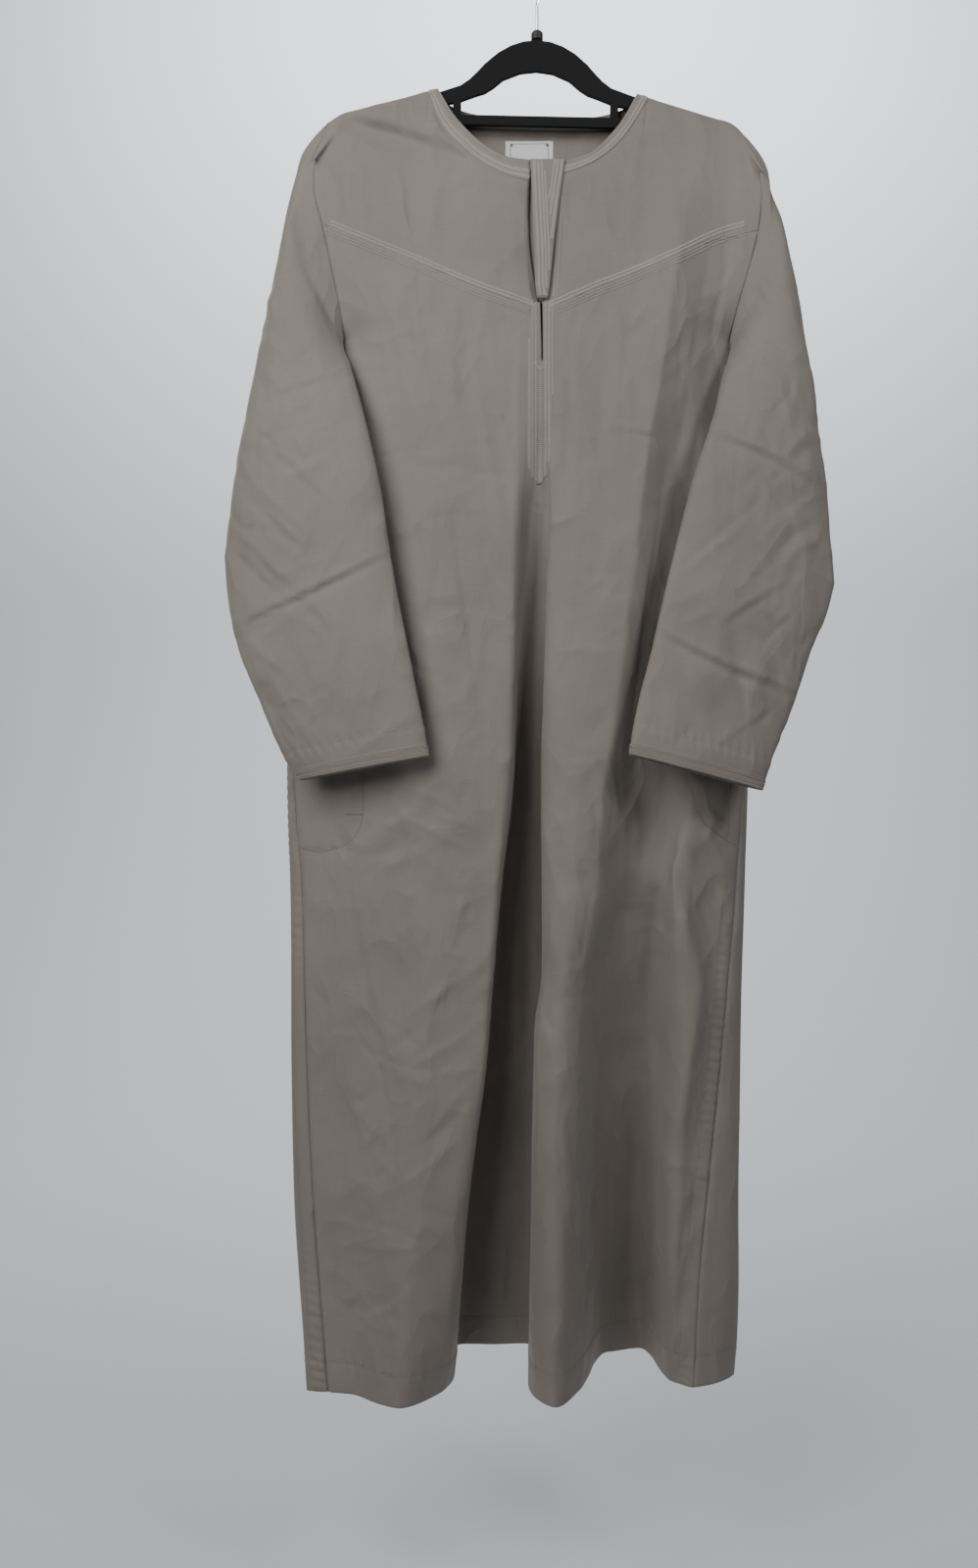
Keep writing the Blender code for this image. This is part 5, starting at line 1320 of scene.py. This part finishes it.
# Sleeves

sleeve_grids = {}
for side in ("left", "right"):
    coarse = sleeve_rings(side)
    if side == "right":
        coarse = coarse[:, ::-1]
    around = arc(np.concatenate([coarse, coarse[:, :1]], axis=1), 1)[-1]
    down, girth = spaced(arc(coarse, 0)[-1], 6.6), spaced(around, 6.4)
    grid = refined(coarse, doubled(down), doubled(girth)[:-1], closed=True)
    column, row = seen(grid)
    normal = normals_of(grid, True)
    facing = np.clip(0.5 - 1.6 * normal[..., 1], 0, 1)
    middle = (262, 560) if side == "left" else (800, 560)
    near = small_creases(41 if side == "left" else 42, 130, (middle[0] - 40, 300, middle[0] + 60, 760),
                         (35, 50, 130, 145, 80, 100), (0.25, 0.85), (2.2, 5.0), (18, 80))
    far = small_creases(43 if side == "left" else 44, 110, (middle[0] - 60, 250, middle[0] + 90, 760),
                        (30, 55, 125, 150, 85), (0.25, 0.9), (2.6, 6), (25, 100))
    shifted = [(0.9 * height, width, lean, [(x, y + 14) for x, y in line])
               for height, width, lean, line in SLEEVE_CREASES[side]]
    out = facing * (creased(column, row, SLEEVE_CREASES[side]) + creased(column, row, near))
    out += (1 - facing) * (creased(column, row, shifted) + creased(column, row, far))
    out += waves(column, row, 19, 0.5, 90)
    out *= np.clip(from_edge(grid, 0, False) / 45, 0, 1)
    rise = from_edge(grid, 0, True)
    turned_up = step_down(rise, CUFF_HEM, 1.2)
    out *= np.clip(rise / 18, 0, 1)
    turn = from_edge(grid, 1, False)
    puckers = 0.6 * np.sin(turn * 2 * math.pi / 11 + 2.4 * np.sin(turn / 37))
    out += puckers * np.exp(-(((rise - CUFF_HEM) / 8) ** 2))
    out += 0.3 * turned_up + groove(rise - CUFF_HEM, 0.6, 1.8)
    cloth_wall = CLOTH_WALL * (1 + 0.8 * turned_up)
    sleeve_cloth, sleeve_grids[side] = panel("sleeve_cloth_" + side, grid, out, cloth_wall, closed=True)
    dress(sleeve_cloth, TAUPE, "sleeve_" + side)

# Neck band: share of its width, and how far it stands out there

band_rows = np.linspace(0, len(NECK) - 1, 190)
free = np.array([neck_point(r, 0) for r in band_rows])
sewn = np.array([neck_point(r, 1) for r in band_rows])
band_normal = np.array([neck_normal(r) for r in band_rows])
band_across = np.array([0.0, 0.04, 0.2, 0.4, 0.6, 0.8, 0.97, 1.05])
band_rise = np.array([0.0, 0.5, 0.75, 0.75, 0.9, 0.9, 0.6, -0.1])
band_grid = np.array([blend(free, sewn, share) + band_normal * rise
                      for share, rise in zip(band_across, band_rise)])
neck_cloth = shell("neck_cloth", band_grid, 1.3, normals=np.array([band_normal] * len(band_across)))
dress(neck_cloth, TAUPE, "neck_band")


def on_grid(grid, rows, columns):
    """Points of a grid between its own rows and columns."""
    r = np.clip(np.asarray(rows).astype(int), 0, grid.shape[0] - 2)
    c = np.clip(np.asarray(columns).astype(int), 0, grid.shape[1] - 2)
    down, along = (np.asarray(rows) - r)[..., None], (np.asarray(columns) - c)[..., None]
    upper = blend(grid[r, c], grid[r, c + 1], along)
    return blend(upper, blend(grid[r + 1, c], grid[r + 1, c + 1], along), down)


# ---- Stitches --------------------------------------------------------------------------------------------


def threads(name, starts, ends, normals, radius, finish, loft=0.55):
    """Stitches of thick thread: each a short round strand that dips into the cloth at both ends."""
    starts, ends, normals = (np.asarray(values, float) for values in (starts, ends, normals))
    way = ends - starts
    length = np.linalg.norm(way, axis=1, keepdims=True)
    way = way / np.maximum(length, 1e-6)
    side = np.cross(way, normals)
    side /= np.maximum(np.linalg.norm(side, axis=1, keepdims=True), 1e-6)
    up = np.cross(side, way)
    bold = radius > 0.4
    sides = 5 if bold else 4
    stations = ((0.0, 0.5, -0.4), (0.28, 1.0, 0.8), (0.72, 1.0, 0.8), (1.0, 0.5, -0.4)) if bold else (
        (0.0, 0.5, -0.4), (0.5, 1.0, 1.0), (1.0, 0.5, -0.4))
    rings = []
    for share, thick, rise in stations:
        middle = starts + way * length * share + up * radius * loft * rise
        for k in range(sides):
            angle = 2 * math.pi * (k + 0.5) / sides
            rings.append(middle + (side * math.cos(angle) + up * math.sin(angle)) * radius * thick)
    points = np.stack(rings, axis=1)
    faces = []
    for ring in range(len(stations) - 1):
        for k in range(sides):
            a, b = ring * sides + k, ring * sides + (k + 1) % sides
            faces.append((b, a, a + sides, b + sides))
    base = (np.arange(len(points)) * points.shape[1])[:, None]
    quads = (base[..., None] + np.array(faces)[None]).reshape(-1, 4)
    foot = (len(stations) - 1) * sides
    caps = np.concatenate([base + np.arange(sides), base + foot + np.arange(sides)[::-1]])
    dress(piece_of(name, points.reshape(-1, 3), quads.tolist() + caps.tolist()), finish)


def zigzag(length, middle, half, pitch):
    """Runs of a zigzag row: from and to, as distance along and distance across."""
    marks = np.arange(0, length, pitch / 2)
    sides = middle + half * np.where(np.arange(len(marks)) % 2, 1.0, -1.0)
    return np.stack([marks[:-1], sides[:-1], marks[1:], sides[1:]], 1)


def slanted(length, middle, half, pitch, lean):
    """Runs of a row of parallel slanted stitches."""
    marks = np.arange(max(lean, 0) * half, length - abs(lean) * half, pitch)
    return np.stack([marks - lean * half, np.full(len(marks), middle - half), marks + lean * half,
                     np.full(len(marks), middle + half)], 1)


def running(length, middle, stitch=2.4, gap=0.7):
    marks = np.arange(0, length - stitch, stitch + gap)
    return np.stack([marks, np.full(len(marks), middle), marks + stitch, np.full(len(marks), middle)], 1)


def sew(name, runs, place, radius, finish, keep=None):
    """Stitches over a place, a function from distances along and across to points and normals."""
    runs = np.concatenate(runs)
    if keep is not None:
        runs = runs[keep(runs)]
    starts, first = place(runs[:, 0], runs[:, 1])
    ends, second = place(runs[:, 2], runs[:, 3])
    normals = first + second
    normals /= np.maximum(np.linalg.norm(normals, axis=1, keepdims=True), 1e-6)
    threads(name, starts, ends, normals, radius, finish)


def parted(found):
    """Points and normals, from pairs of one each."""
    return np.array([point for point, _ in found]), np.array([normal for _, normal in found])


# Pixels of the picture to a millimetre of cloth, at the front's mean distance from the camera
PICTURE_SCALE = 0.944
# From one stitch to the next in the long rows of the tab, the yoke and the placket
ROW_PITCH = 2.3


def strip_grid(place, stations, profile):
    """Points and normals of a strip; its profile is distance across, and how far it stands out there."""
    points, normals = parted([place(stations, np.full(len(stations), across)) for across, _ in profile])
    return points + normals * np.array([rise for _, rise in profile])[:, None, None], normals


def along_picture(face, line, lift=0.0):
    """A place on a face that follows a line of the picture; distances are millimetres."""
    line = np.array(line, float)
    marks = marks_along(line) / PICTURE_SCALE
    samples = np.linspace(0, marks[-1], max(int(marks[-1] / 2), 3))
    smooth = spline(marks, line, samples)
    ways = np.gradient(smooth, axis=0)
    ways /= np.linalg.norm(ways, axis=1, keepdims=True)

    def place(along, across):
        middle = np.stack([np.interp(along, samples, smooth[:, i]) for i in (0, 1)], 1)
        way = np.stack([np.interp(along, samples, ways[:, i]) for i in (0, 1)], 1)
        spots = middle + np.stack([-way[:, 1], way[:, 0]], 1) * (np.asarray(across)[:, None] * PICTURE_SCALE)
        points, normals = parted([face.pictured(*spot) for spot in spots])
        return points + normals * lift, normals

    return place, float(marks[-1])


body_face = Face(front_grid, yoke_grids["left"], yoke_grids["right"])

# Neck band: two lines of running stitches and two rows of zigzag on its outer half

band_marks = marks_along(blend(free, sewn, 0.7))


def on_band(along, across):
    at = np.interp(along, band_marks, np.arange(len(band_marks)))
    rows = np.interp(np.asarray(across) / BAND_WIDTH, band_across, np.arange(len(band_across)))
    return on_grid(band_grid, rows, at), on_grid(np.array([band_normal] * 2), at * 0, at)


band_length = band_marks[-1] - 3
sew("neck_zigzag", [zigzag(band_length, 9.8, 2.2, 2.5), zigzag(band_length, 14.4, 2.0, 2.5)], on_band, 0.48,
    THREAD)
sew("neck_edge_stitch", [running(band_length, 2.2), running(band_length, 6.6)], on_band, 0.28, THREAD)

# V seams: a strip of doubled cloth with a bold zigzag above and finer rows below

V_LINES = {
    "left": ((335, 231.5), (387, 252.5), (432, 271), (476, 290), (545, 315)),
    "right": ((561, 315.5), (611, 294), (647, 280), (692, 260), (736, 240), (762, 232.5)),
}
# Distance across the strip, and how far it stands out there
V_PROFILE = ((-9.0, -0.4), (-7.6, -0.1), (-4, 0.08), (0, 0.08), (4, 0.08), (7.6, -0.1), (9.0, -0.4))
for side, line in V_LINES.items():
    place, length = along_picture(body_face, line)
    stations = np.arange(0, length, 3.0)
    grid, normal = strip_grid(place, stations, V_PROFILE)
    strip = shell("v_strip_" + side, grid, 0.8, normals=normal)
    dress(strip, TAUPE, "yoke_trim_" + side)
    raised, length = along_picture(body_face, line, 0.12)
    sew("v_zigzag_" + side, [zigzag(length, -6.6, 1.7, 2.2), zigzag(length, -3.2, 1.7, 2.2)], raised, 0.46,
        THREAD)
    sew("v_rows_" + side, [running(length, across, 1.5, 0.6) for across in (1.0, 4.0, 7.0)], raised, 0.5,
        THREAD)

# Tab over the slit

tab_down = np.linspace(TAB[0][0], TAB[-1][0], 54)
tab_across = np.linspace(0, 1, 13)
tops = [-r[0] for r in TAB]
tab_left, tab_right = (np.interp(-tab_down, tops, [r[part] for r in TAB]) for part in (1, 2))
tab_y = np.interp(-tab_down, [r[0] for r in TAB_DEPTH], [r[1] for r in TAB_DEPTH])
tab_grid = np.zeros((len(tab_down), len(tab_across), 3))
tab_grid[..., 0] = tab_left[:, None] + (tab_right - tab_left)[:, None] * tab_across
tab_grid[..., 1] = (tab_y[:, None] - 0.35 * np.sin(np.pi * tab_across)[None] ** 0.5
                    + 0.5 * np.sin(-tab_down / 31)[:, None] * (tab_across - 0.5))
tab_grid[..., 2] = tab_down[:, None]
tab_cloth = shell("tab_cloth", tab_grid, 1.5)
dress(tab_cloth, TAUPE, "placket_tab")
tab_length = abs(TAB[0][0] - TAB[-1][0])
tab_normal = normals_of(tab_grid)
if tab_normal[..., 1].mean() > 0:
    tab_normal = -tab_normal


def tab_row(along):
    return np.asarray(along) / tab_length * (len(tab_down) - 1)


def tab_width(along):
    return np.interp(tab_row(along), np.arange(len(tab_down)), tab_right - tab_left)


def on_tab(along, across):
    """Distances down from the tab's top, and across from its left edge."""
    rows = tab_row(along)
    columns = np.clip(np.asarray(across) / tab_width(along), 0, 1) * (len(tab_across) - 1)
    return on_grid(tab_grid, rows, columns), on_grid(tab_normal, rows, columns)


def on_tab_from_right(along, across):
    return on_tab(along, tab_width(along) - np.asarray(across))


def on_tab_cloth(runs, margin):
    """Whether the runs end short of the tab's far edge by this margin."""
    return runs[:, 1:4:2].max(axis=1) < tab_width(runs[:, 0]) - margin


def keep_left(runs):
    return on_tab_cloth(runs, 0.8)


def keep_right(runs):
    """The rows from the left take 14.6 mm of the width, and 17.4 mm from 14 mm down."""
    return on_tab_cloth(runs, np.where(runs[:, 0] > 14, 17.4, 14.6))


# Middle and half width of the rows, counted from the tab's left and from its right edge
TAB_ROWS_LEFT = ((4.4, 2.0), (8.8, 2.0), (12.4, 1.5))
TAB_ROWS_RIGHT = ((3.0, 2.0), (7.4, 2.0), (11.0, 1.5))
# The fourth row from the left starts lower down
FOURTH_ROW = (15.6, 1.4)
FOURTH_START = 28
tab_run = tab_length - 1.5
rows = [zigzag(tab_run, *row, ROW_PITCH) for row in TAB_ROWS_LEFT]
rows.append(zigzag(tab_run, *FOURTH_ROW, ROW_PITCH)[int(FOURTH_START / ROW_PITCH):])
sew("tab_rows_left", rows, on_tab, 0.52, THREAD, keep=keep_left)
rows = [zigzag(tab_run, *row, ROW_PITCH) for row in TAB_ROWS_RIGHT]
sew("tab_rows_right", rows, on_tab_from_right, 0.52, THREAD, keep=keep_right)
sew("tab_edge_stitch", [running(tab_run, 0.9, 1.8, 0.4), running(tab_run, 2.0, 1.8, 0.4)], on_tab, 0.3,
    THREAD)

# Column of slanted stitches on the right yoke beside the tab, and the facing behind the opening

place, length = along_picture(body_face, ((571, 200), (569.5, 240), (568, 275), (566.5, 304)), 0.1)
rows = [slanted(length, -2.2, 1.7, ROW_PITCH, 0.9), slanted(length, 1.8, 1.6, ROW_PITCH, -0.9)]
sew("yoke_column", rows, place, 0.5, THREAD)
facing_z = np.linspace(-247, -401, 40)
left_edge, right_edge = yoke_grids["left"][:, -1], yoke_grids["right"][:, 0]
facing = []
for share in np.linspace(0, 1, 8):
    edges = [np.stack([np.interp(-facing_z, -edge[:, 2], edge[:, axis]) for axis in (0, 1)], 1)
             for edge in (left_edge, right_edge)]
    at = blend(edges[0] - (9, 0), edges[1] + (9, 0), share)
    facing.append(np.stack([at[:, 0], at[:, 1] + 3.6, facing_z], 1))
facing_cloth = shell("facing_cloth", np.swapaxes(np.array(facing), 0, 1), 0.8)
dress(facing_cloth, TAUPE)

# Placket panel below the tab, open along the slit

# The cloth starts a little above the table's first row, under the tab
PLACKET_TOP = PLACKET[0][0] + 4.5
SLIT_CLOSING = 60
placket_down = np.arange(PLACKET_TOP, PLACKET[-1][0], -2.6)
tops = [-r[0] for r in PLACKET]
placket_edges = [np.interp(-placket_down, tops, [r[part] for r in PLACKET]) for part in (1, 2)]
slit_edges = [np.interp(-placket_down, -front_grid[:, c, 2], front_grid[:, c, 0]) for c in slit_columns]
closing = np.clip((placket_down - SLIT_FOOT) / SLIT_CLOSING, 0, 1)
slit_middle = (slit_edges[0] + slit_edges[1]) / 2
slit_half = (slit_edges[1] - slit_edges[0]) / 2 * (0.3 + 0.3 * closing)
placket_grid, placket_normal = [], []
for z, left, right, middle, half in zip(placket_down, *placket_edges, slit_middle, slit_half):
    if z < SLIT_FOOT - SLIT_CLOSING:
        middle, half = (left + right) / 2, 0.4
    xs = [*np.linspace(left, middle - half, 7), *np.linspace(middle + half, right, 7)]
    found = [body_face.ahead(x, z) for x in xs]
    placket_grid.append([p for p, _ in found])
    placket_normal.append([n for _, n in found])
placket_grid, placket_normal = np.array(placket_grid), np.array(placket_normal)
placket_grid[:, 6:8, 1] = placket_grid[:, [5, 8], 1]
placket_normal[:, 6:8] = placket_normal[:, [5, 8]]
rise = np.array([-0.3, 0.2, 0.4, 0.4, 0.4, 0.4, 0.3, 0.3, 0.4, 0.4, 0.4, 0.4, 0.2, -0.3])
placket_grid = placket_grid + placket_normal * rise[None, :, None]


def placket_slit(r, c):
    return (c == 6) & (placket_down[r] > SLIT_FOOT + 1)


placket_cloth = shell("placket_cloth", placket_grid, 1.0, skip=placket_slit, normals=placket_normal)
dress(placket_cloth, TAUPE, "placket_panel")
placket_length = abs(placket_down[-1] - placket_down[0])
placket_face = Face(placket_grid)


def on_placket(along, across):
    """Distances down from the placket's top, and across from x = 0."""
    return parted([placket_face.ahead(x, PLACKET_TOP - down) for down, x in zip(along, across)])


def on_placket_cloth(runs):
    """Whether the runs are within the placket's edges and clear of the slit."""
    z = PLACKET_TOP - (runs[:, 0] + runs[:, 2]) / 2
    left, right = (np.interp(-z, tops, [r[part] for r in PLACKET]) for part in (1, 2))
    low, high = np.minimum(runs[:, 1], runs[:, 3]), np.maximum(runs[:, 1], runs[:, 3])
    kept = (low > left + 0.3) & (high < right - 0.3)
    slit_sides = (slit_middle - slit_half, slit_middle + slit_half)
    gap = [np.interp(z, placket_down[::-1], edge[::-1]) for edge in slit_sides]
    return kept & ((high < gap[0] - 0.2) | (low > gap[1] + 0.2) | (z < SLIT_FOOT))


# Middle, half width and lean of each long row of slanted stitches, three on each side of the ladder
PLACKET_ROWS = ((-9.6, 1.6, 0.8), (-6.2, 1.6, -0.8), (-2.8, 1.6, 0.8), (7.6, 1.6, 0.9), (11.4, 1.7, 0.9),
                (15.4, 1.7, -0.8))
run = placket_length - 2
slit_drop = PLACKET_TOP - SLIT_FOOT + 6
ladder = slanted(run - slit_drop, 2.4, 2.5, 2.0, 0.15)
ladder[:, [0, 2]] += slit_drop
rows = [slanted(run, middle, half, ROW_PITCH, lean) for middle, half, lean in PLACKET_ROWS]
sew("placket_rows", [*rows[:3], ladder, *rows[3:]], on_placket, 0.5, THREAD, keep=on_placket_cloth)
turn = [(552 + 5.2 * math.sin(a), 369.5 + 5.0 * math.cos(a)) for a in np.linspace(-1.9, 1.9, 12)]
place, length = along_picture(placket_face, turn, 0.1)
sew("slit_arc", [running(length, 0.0, 1.7, 0.3), running(length, 1.4, 1.7, 0.3)], place, 0.42, THREAD)

# Cuffs: a trim of four rows of slanted stitches between edge lines, all round

# Height above the cuff's edge, and lean
CUFF_ROWS = ((2.2, 0.7), (4.8, -0.7), (7.4, 0.7), (10.0, -0.7))
# Height above the cuff's edge, and how far the trim stands out there
CUFF_PROFILE = ((15.0, -0.3), (13.6, 0.1), (10, 0.3), (5, 0.4), (1.0, 0.45), (0.25, 0.1))
for side, grid in sleeve_grids.items():
    closed_grid = np.concatenate([grid, grid[:, :1]], axis=1)
    normal = normals_of(grid, True)
    closed_normal = np.concatenate([normal, normal[:, :1]], axis=1)
    heights = from_edge(closed_grid, 0, True)
    around = marks_along(closed_grid[-2])

    def on_cuff(along, above, grid=closed_grid, normal=closed_normal, heights=heights, around=around):
        at = np.interp(along, around, np.arange(len(around)))
        nearest_column = np.rint(at).astype(int)
        rows = np.array([np.interp(-h, -heights[:, c], np.arange(len(heights)))
                         for h, c in zip(np.broadcast_to(above, at.shape), nearest_column)])
        return on_grid(grid, rows, at), on_grid(normal, rows, at)

    stations = np.linspace(0, around[-1], len(around))[:-1]
    trim, normal = strip_grid(on_cuff, stations, CUFF_PROFILE)
    strip = shell("cuff_strip_" + side, trim, 0.8, closed=True, normals=normal)
    dress(strip, TAUPE, "cuff_trim_" + side)

    def on_strip(along, above, on_cuff=on_cuff):
        points, normals = on_cuff(along, above)
        return points + normals * 0.4, normals

    girth = around[-1]
    rows = [slanted(girth, high, 1.2, 1.7, lean) for high, lean in CUFF_ROWS]
    sew("cuff_zigzag_" + side, rows, on_strip, 0.42, CUFF_THREAD)
    rows = [running(girth, high, 2.0, 0.5) for high in (0.7, 11.6)]
    sew("cuff_edge_" + side, rows, on_strip, 0.26, SEWING)
    sew("cuff_hem_stitch_" + side, [running(girth, CUFF_HEM, 2.0, 0.6)], on_cuff, 0.34, CUFF_THREAD)

# Stitch lines of the body: hems, side seams and pockets


def along_grid(grid, normal, distances, along_rows):
    """A place that follows a grid at a set distance from its foot, or from its first or last column."""

    def place(along, across):
        if along_rows:
            columns = np.arange(grid.shape[1])
            level = np.array([np.interp(-across[0], -distances[:, c], np.arange(len(grid))) for c in columns])
            at = np.interp(along, marks_along(on_grid(grid, level, columns)), columns)
            rows = np.interp(at, columns, level)
            return on_grid(grid, rows, at), on_grid(normal, rows, at)
        order = np.argsort(distances[-1])
        rows = np.arange(len(grid))
        level = np.array([np.interp(across[0], distances[r][order], order.astype(float)) for r in rows])
        at = np.interp(along, marks_along(on_grid(grid, rows, level)), rows)
        columns = np.interp(at, rows, level)
        return on_grid(grid, at, columns), on_grid(normal, at, columns)

    return place


front_normal, back_normal = normals_of(front_grid), normals_of(back_grid)
for side, grid, normal, length in (("front", front_grid, front_normal, 900),
                                   ("back", back_grid, back_normal, 600)):
    place = along_grid(grid, normal, from_edge(grid, 0, True), True)
    sew(side + "_hem_stitch", [running(length, HEM_HEIGHT)], place, 0.27, SEWING)
seam_length = ARMHOLE_FOOT - front_grid[-1, -1, 2] - 8
for side, grid, normal in (("right", front_grid, front_normal), ("left", back_grid, back_normal)):
    top = int(np.argmax(grid[:, -1, 2] < ARMHOLE_FOOT - 5))
    place = along_grid(grid[top:], normal[top:], from_edge(grid, 1, True)[top:], False)
    sew("seam_stitch_" + side, [running(seam_length, SEAM_WIDTH)], place, 0.27, SEWING)

for side, line in POCKET_LINES.items():
    place, length = along_picture(body_face, line, 0.05)
    sew("pocket_stitch_" + side, [running(length, 0.0)], place, 0.4, SEWING)
place, length = along_picture(body_face, ((352, 831), (371, 831)), 0.05)
sew("pocket_tack", [zigzag(length, 0.0, 0.7, 1.6)], place, 0.4, SEWING)

# Pocket bags behind the front

for side in ("left", "right"):
    inside = pocket_zone(front_grid, side)
    inner, _, foot = POCKET_EDGES[side]
    from_side, from_foot = abs(front_grid[..., 0] - inner), front_grid[..., 2] - foot
    corner = np.hypot(np.maximum(POCKET_CORNER - from_side, 0), np.maximum(POCKET_CORNER - from_foot, 0))
    wanted = (inside > 0) & (corner < POCKET_CORNER) & (from_edge(front_grid, 1, side == "right") > 4)

    def outside(r, c, wanted=wanted):
        return ~(wanted[r, c] & wanted[r + 1, c] & wanted[r, c + 1] & wanted[r + 1, c + 1])

    lift = -(CLOTH_WALL + POCKET_GAP[side])
    bag = shell("pocket_cloth_" + side, front_grid, 0.7, skip=outside, normals=front_normal, lift=lift)
    dress(bag, TAUPE, "pocket_" + side)

# Label inside the back of the neck

back_face = Face(back_grid)


def on_back(x, z):
    """The inner face of the back, seen through the neck."""
    point, normal = back_face.hit((x, -2.0, z), (0, 1, 0))
    return point + normal * CLOTH_WALL, normal


def on_label(along, across, lift):
    points, normals = parted([on_back(x, z) for x, z in zip(along, across)])
    return points + normals * lift, normals


label_x = np.linspace(LABEL["left"], LABEL["right"], 26)
label_z = np.linspace(LABEL["top"], LABEL["foot"], 14)
grid = np.array([on_label(label_x, np.full(len(label_x), z), 0.75)[0] for z in label_z])
label_cloth = shell("label_cloth", grid, 0.5, normals=np.broadcast_to((0.0, -1.0, 0.0), grid.shape).copy())
dress(label_cloth, WHITE, "neck_label")


def split(lines, size, filled=1.0):
    """Runs about this long that follow straight lines, each filling a share of its place."""
    runs = []
    for x0, z0, x1, z1 in lines:
        parts = max(int(math.hypot(x1 - x0, z1 - z0) / size), 1)
        for k in range(parts):
            a, b = k / parts, (k + filled) / parts
            runs.append([blend(x0, x1, a), blend(z0, z1, a), blend(x0, x1, b), blend(z0, z1, b)])
    return np.array(runs)


def just_over_label(x, z):
    return on_label(x, z, 0.8)


# The woven frame, with a small block over each of its corners
left, right = LABEL["left"] + 5.6, LABEL["right"] - 5.6
high, low = LABEL["top"] - 3.0, LABEL["foot"] + 3.0
lines = [[left, high, right, high], [left, low, right, low], [left, high, left, low],
         [right, high, right, low]]
for x in (left + 1.6, right - 1.6):
    for z in (high - 1.6, low + 1.6):
        lines += [[x - 1.4, z + step, x + 1.4, z + step] for step in (-0.9, 0.0, 0.9)]
sew("label_frame", [split(lines, 3)], just_over_label, 0.32, DARK_THREAD)
# The stitches that hold the label, along its edges
left, right, high, low = LABEL["left"] + 1, LABEL["right"] - 1, LABEL["top"] - 1, LABEL["foot"] + 1
lines = [[left, high, right, high], [left, high, left, low], [right, high, right, low],
         [left, low, right, low]]
sew("label_stitch", [split(lines, 2.6, 0.7)], just_over_label, 0.22, WHITE)

# Small gussets that close each underarm between the side seam and the sleeve

for side, sign in (("left", -1), ("right", 1)):
    corners = np.array([[(207, 1.0, -419), (224, 1.0, -423)], [(217, -1.5, -455), (232, -1.0, -451)]], float)
    corners[..., 0] *= sign
    grid = refined(corners, np.linspace(0, 33, 12), np.linspace(0, 16, 12))
    grid[..., 1] += 0.8 * np.sin(grid[..., 2] / 9) * np.sin(np.linspace(0, math.pi, 12))
    gusset = shell("underarm_cloth_" + side, grid[:, ::-sign], 0.8)
    dress(gusset, TAUPE)

# Hanger

for name, finish in (("hanger_body", FLOCK), ("hanger_plug", PLUG), ("wire_hook", CHROME)):
    for slot in frame["nodes"][name].material_slots:
        slot.material = finish

# ---- Stage -----------------------------------------------------------------------------------------------


def stage():
    """A pale floor that curves up into a backdrop far behind."""
    half, level, rear, bend = 6.0, -1.84, 3.4, 1.6
    profile = [(-half, level), (-1.0, level), (rear - bend, level)]
    for k in range(1, 17):
        angle = math.pi / 2 * k / 16
        profile.append((rear - bend + bend * math.sin(angle), level + bend - bend * math.cos(angle)))
    profile.append((rear, 4.0))
    points = [(x, y, z) for y, z in profile for x in (-half, half)]
    faces = [(2 * k, 2 * k + 1, 2 * k + 3, 2 * k + 2) for k in range(len(profile) - 1)]
    floor = object_of("floor", points, faces)
    made, _, shader = nodes_for("floor_paint")
    shader.inputs["Base Color"].default_value = (0.475, 0.49, 0.51, 1)
    shader.inputs["Roughness"].default_value = 0.85
    floor.data.materials.append(made)


def area_light(name, place, aim, size, power):
    light = bpy.data.lights.new(name, "AREA")
    light.shape, light.size, light.size_y = "RECTANGLE", size[0], size[1]
    light.energy = power
    lamp = bpy.data.objects.new(name, light)
    bpy.context.scene.collection.objects.link(lamp)
    lamp.location = place
    lamp.rotation_euler = (Vector(aim) - Vector(place)).to_track_quat("-Z", "Y").to_euler()


def world():
    """Weak light from all round, and a pale grey where the camera sees past the stage."""
    made = bpy.data.worlds.new("studio")
    made.use_nodes = True
    bpy.context.scene.world = made
    tree = made.node_tree
    background = tree.nodes["Background"]
    background.inputs["Color"].default_value = (0.80, 0.83, 0.86, 1)
    path = add_node(tree, "ShaderNodeLightPath")
    pale = add_node(tree, "ShaderNodeMapRange", {"Value": path.outputs["Is Camera Ray"], "To Min": 0.02,
                                                 "To Max": 0.55})
    tree.links.new(pale.outputs[0], background.inputs["Strength"])


def camera():
    data = bpy.data.cameras.new("camera")
    data.sensor_fit, data.sensor_width = "AUTO", 36.0
    data.lens = FOCAL / 1600 * 36.0
    data.clip_end = 50
    eye = bpy.data.objects.new("camera", data)
    bpy.context.scene.collection.objects.link(eye)
    eye.location = Vector(EYE) * MM
    eye.rotation_euler = (math.pi / 2, 0, 0)
    bpy.context.scene.camera = eye


stage()
world()
area_light("key", (-1.0, -1.4, 0.15), (0, 0, -0.5), (1.3, 1.5), 35)
area_light("right", (1.3, -1.3, 0.45), (0.1, 0, -0.5), (0.6, 0.6), 17.5)
area_light("wall", (0.2, 1.3, 2.3), (0.1, 3.4, 1.0), (3.2, 0.5), 275)
area_light("rear", (-2.0, 1.7, 0.7), (0, 0, -0.7), (0.8, 0.8), 20)
camera()
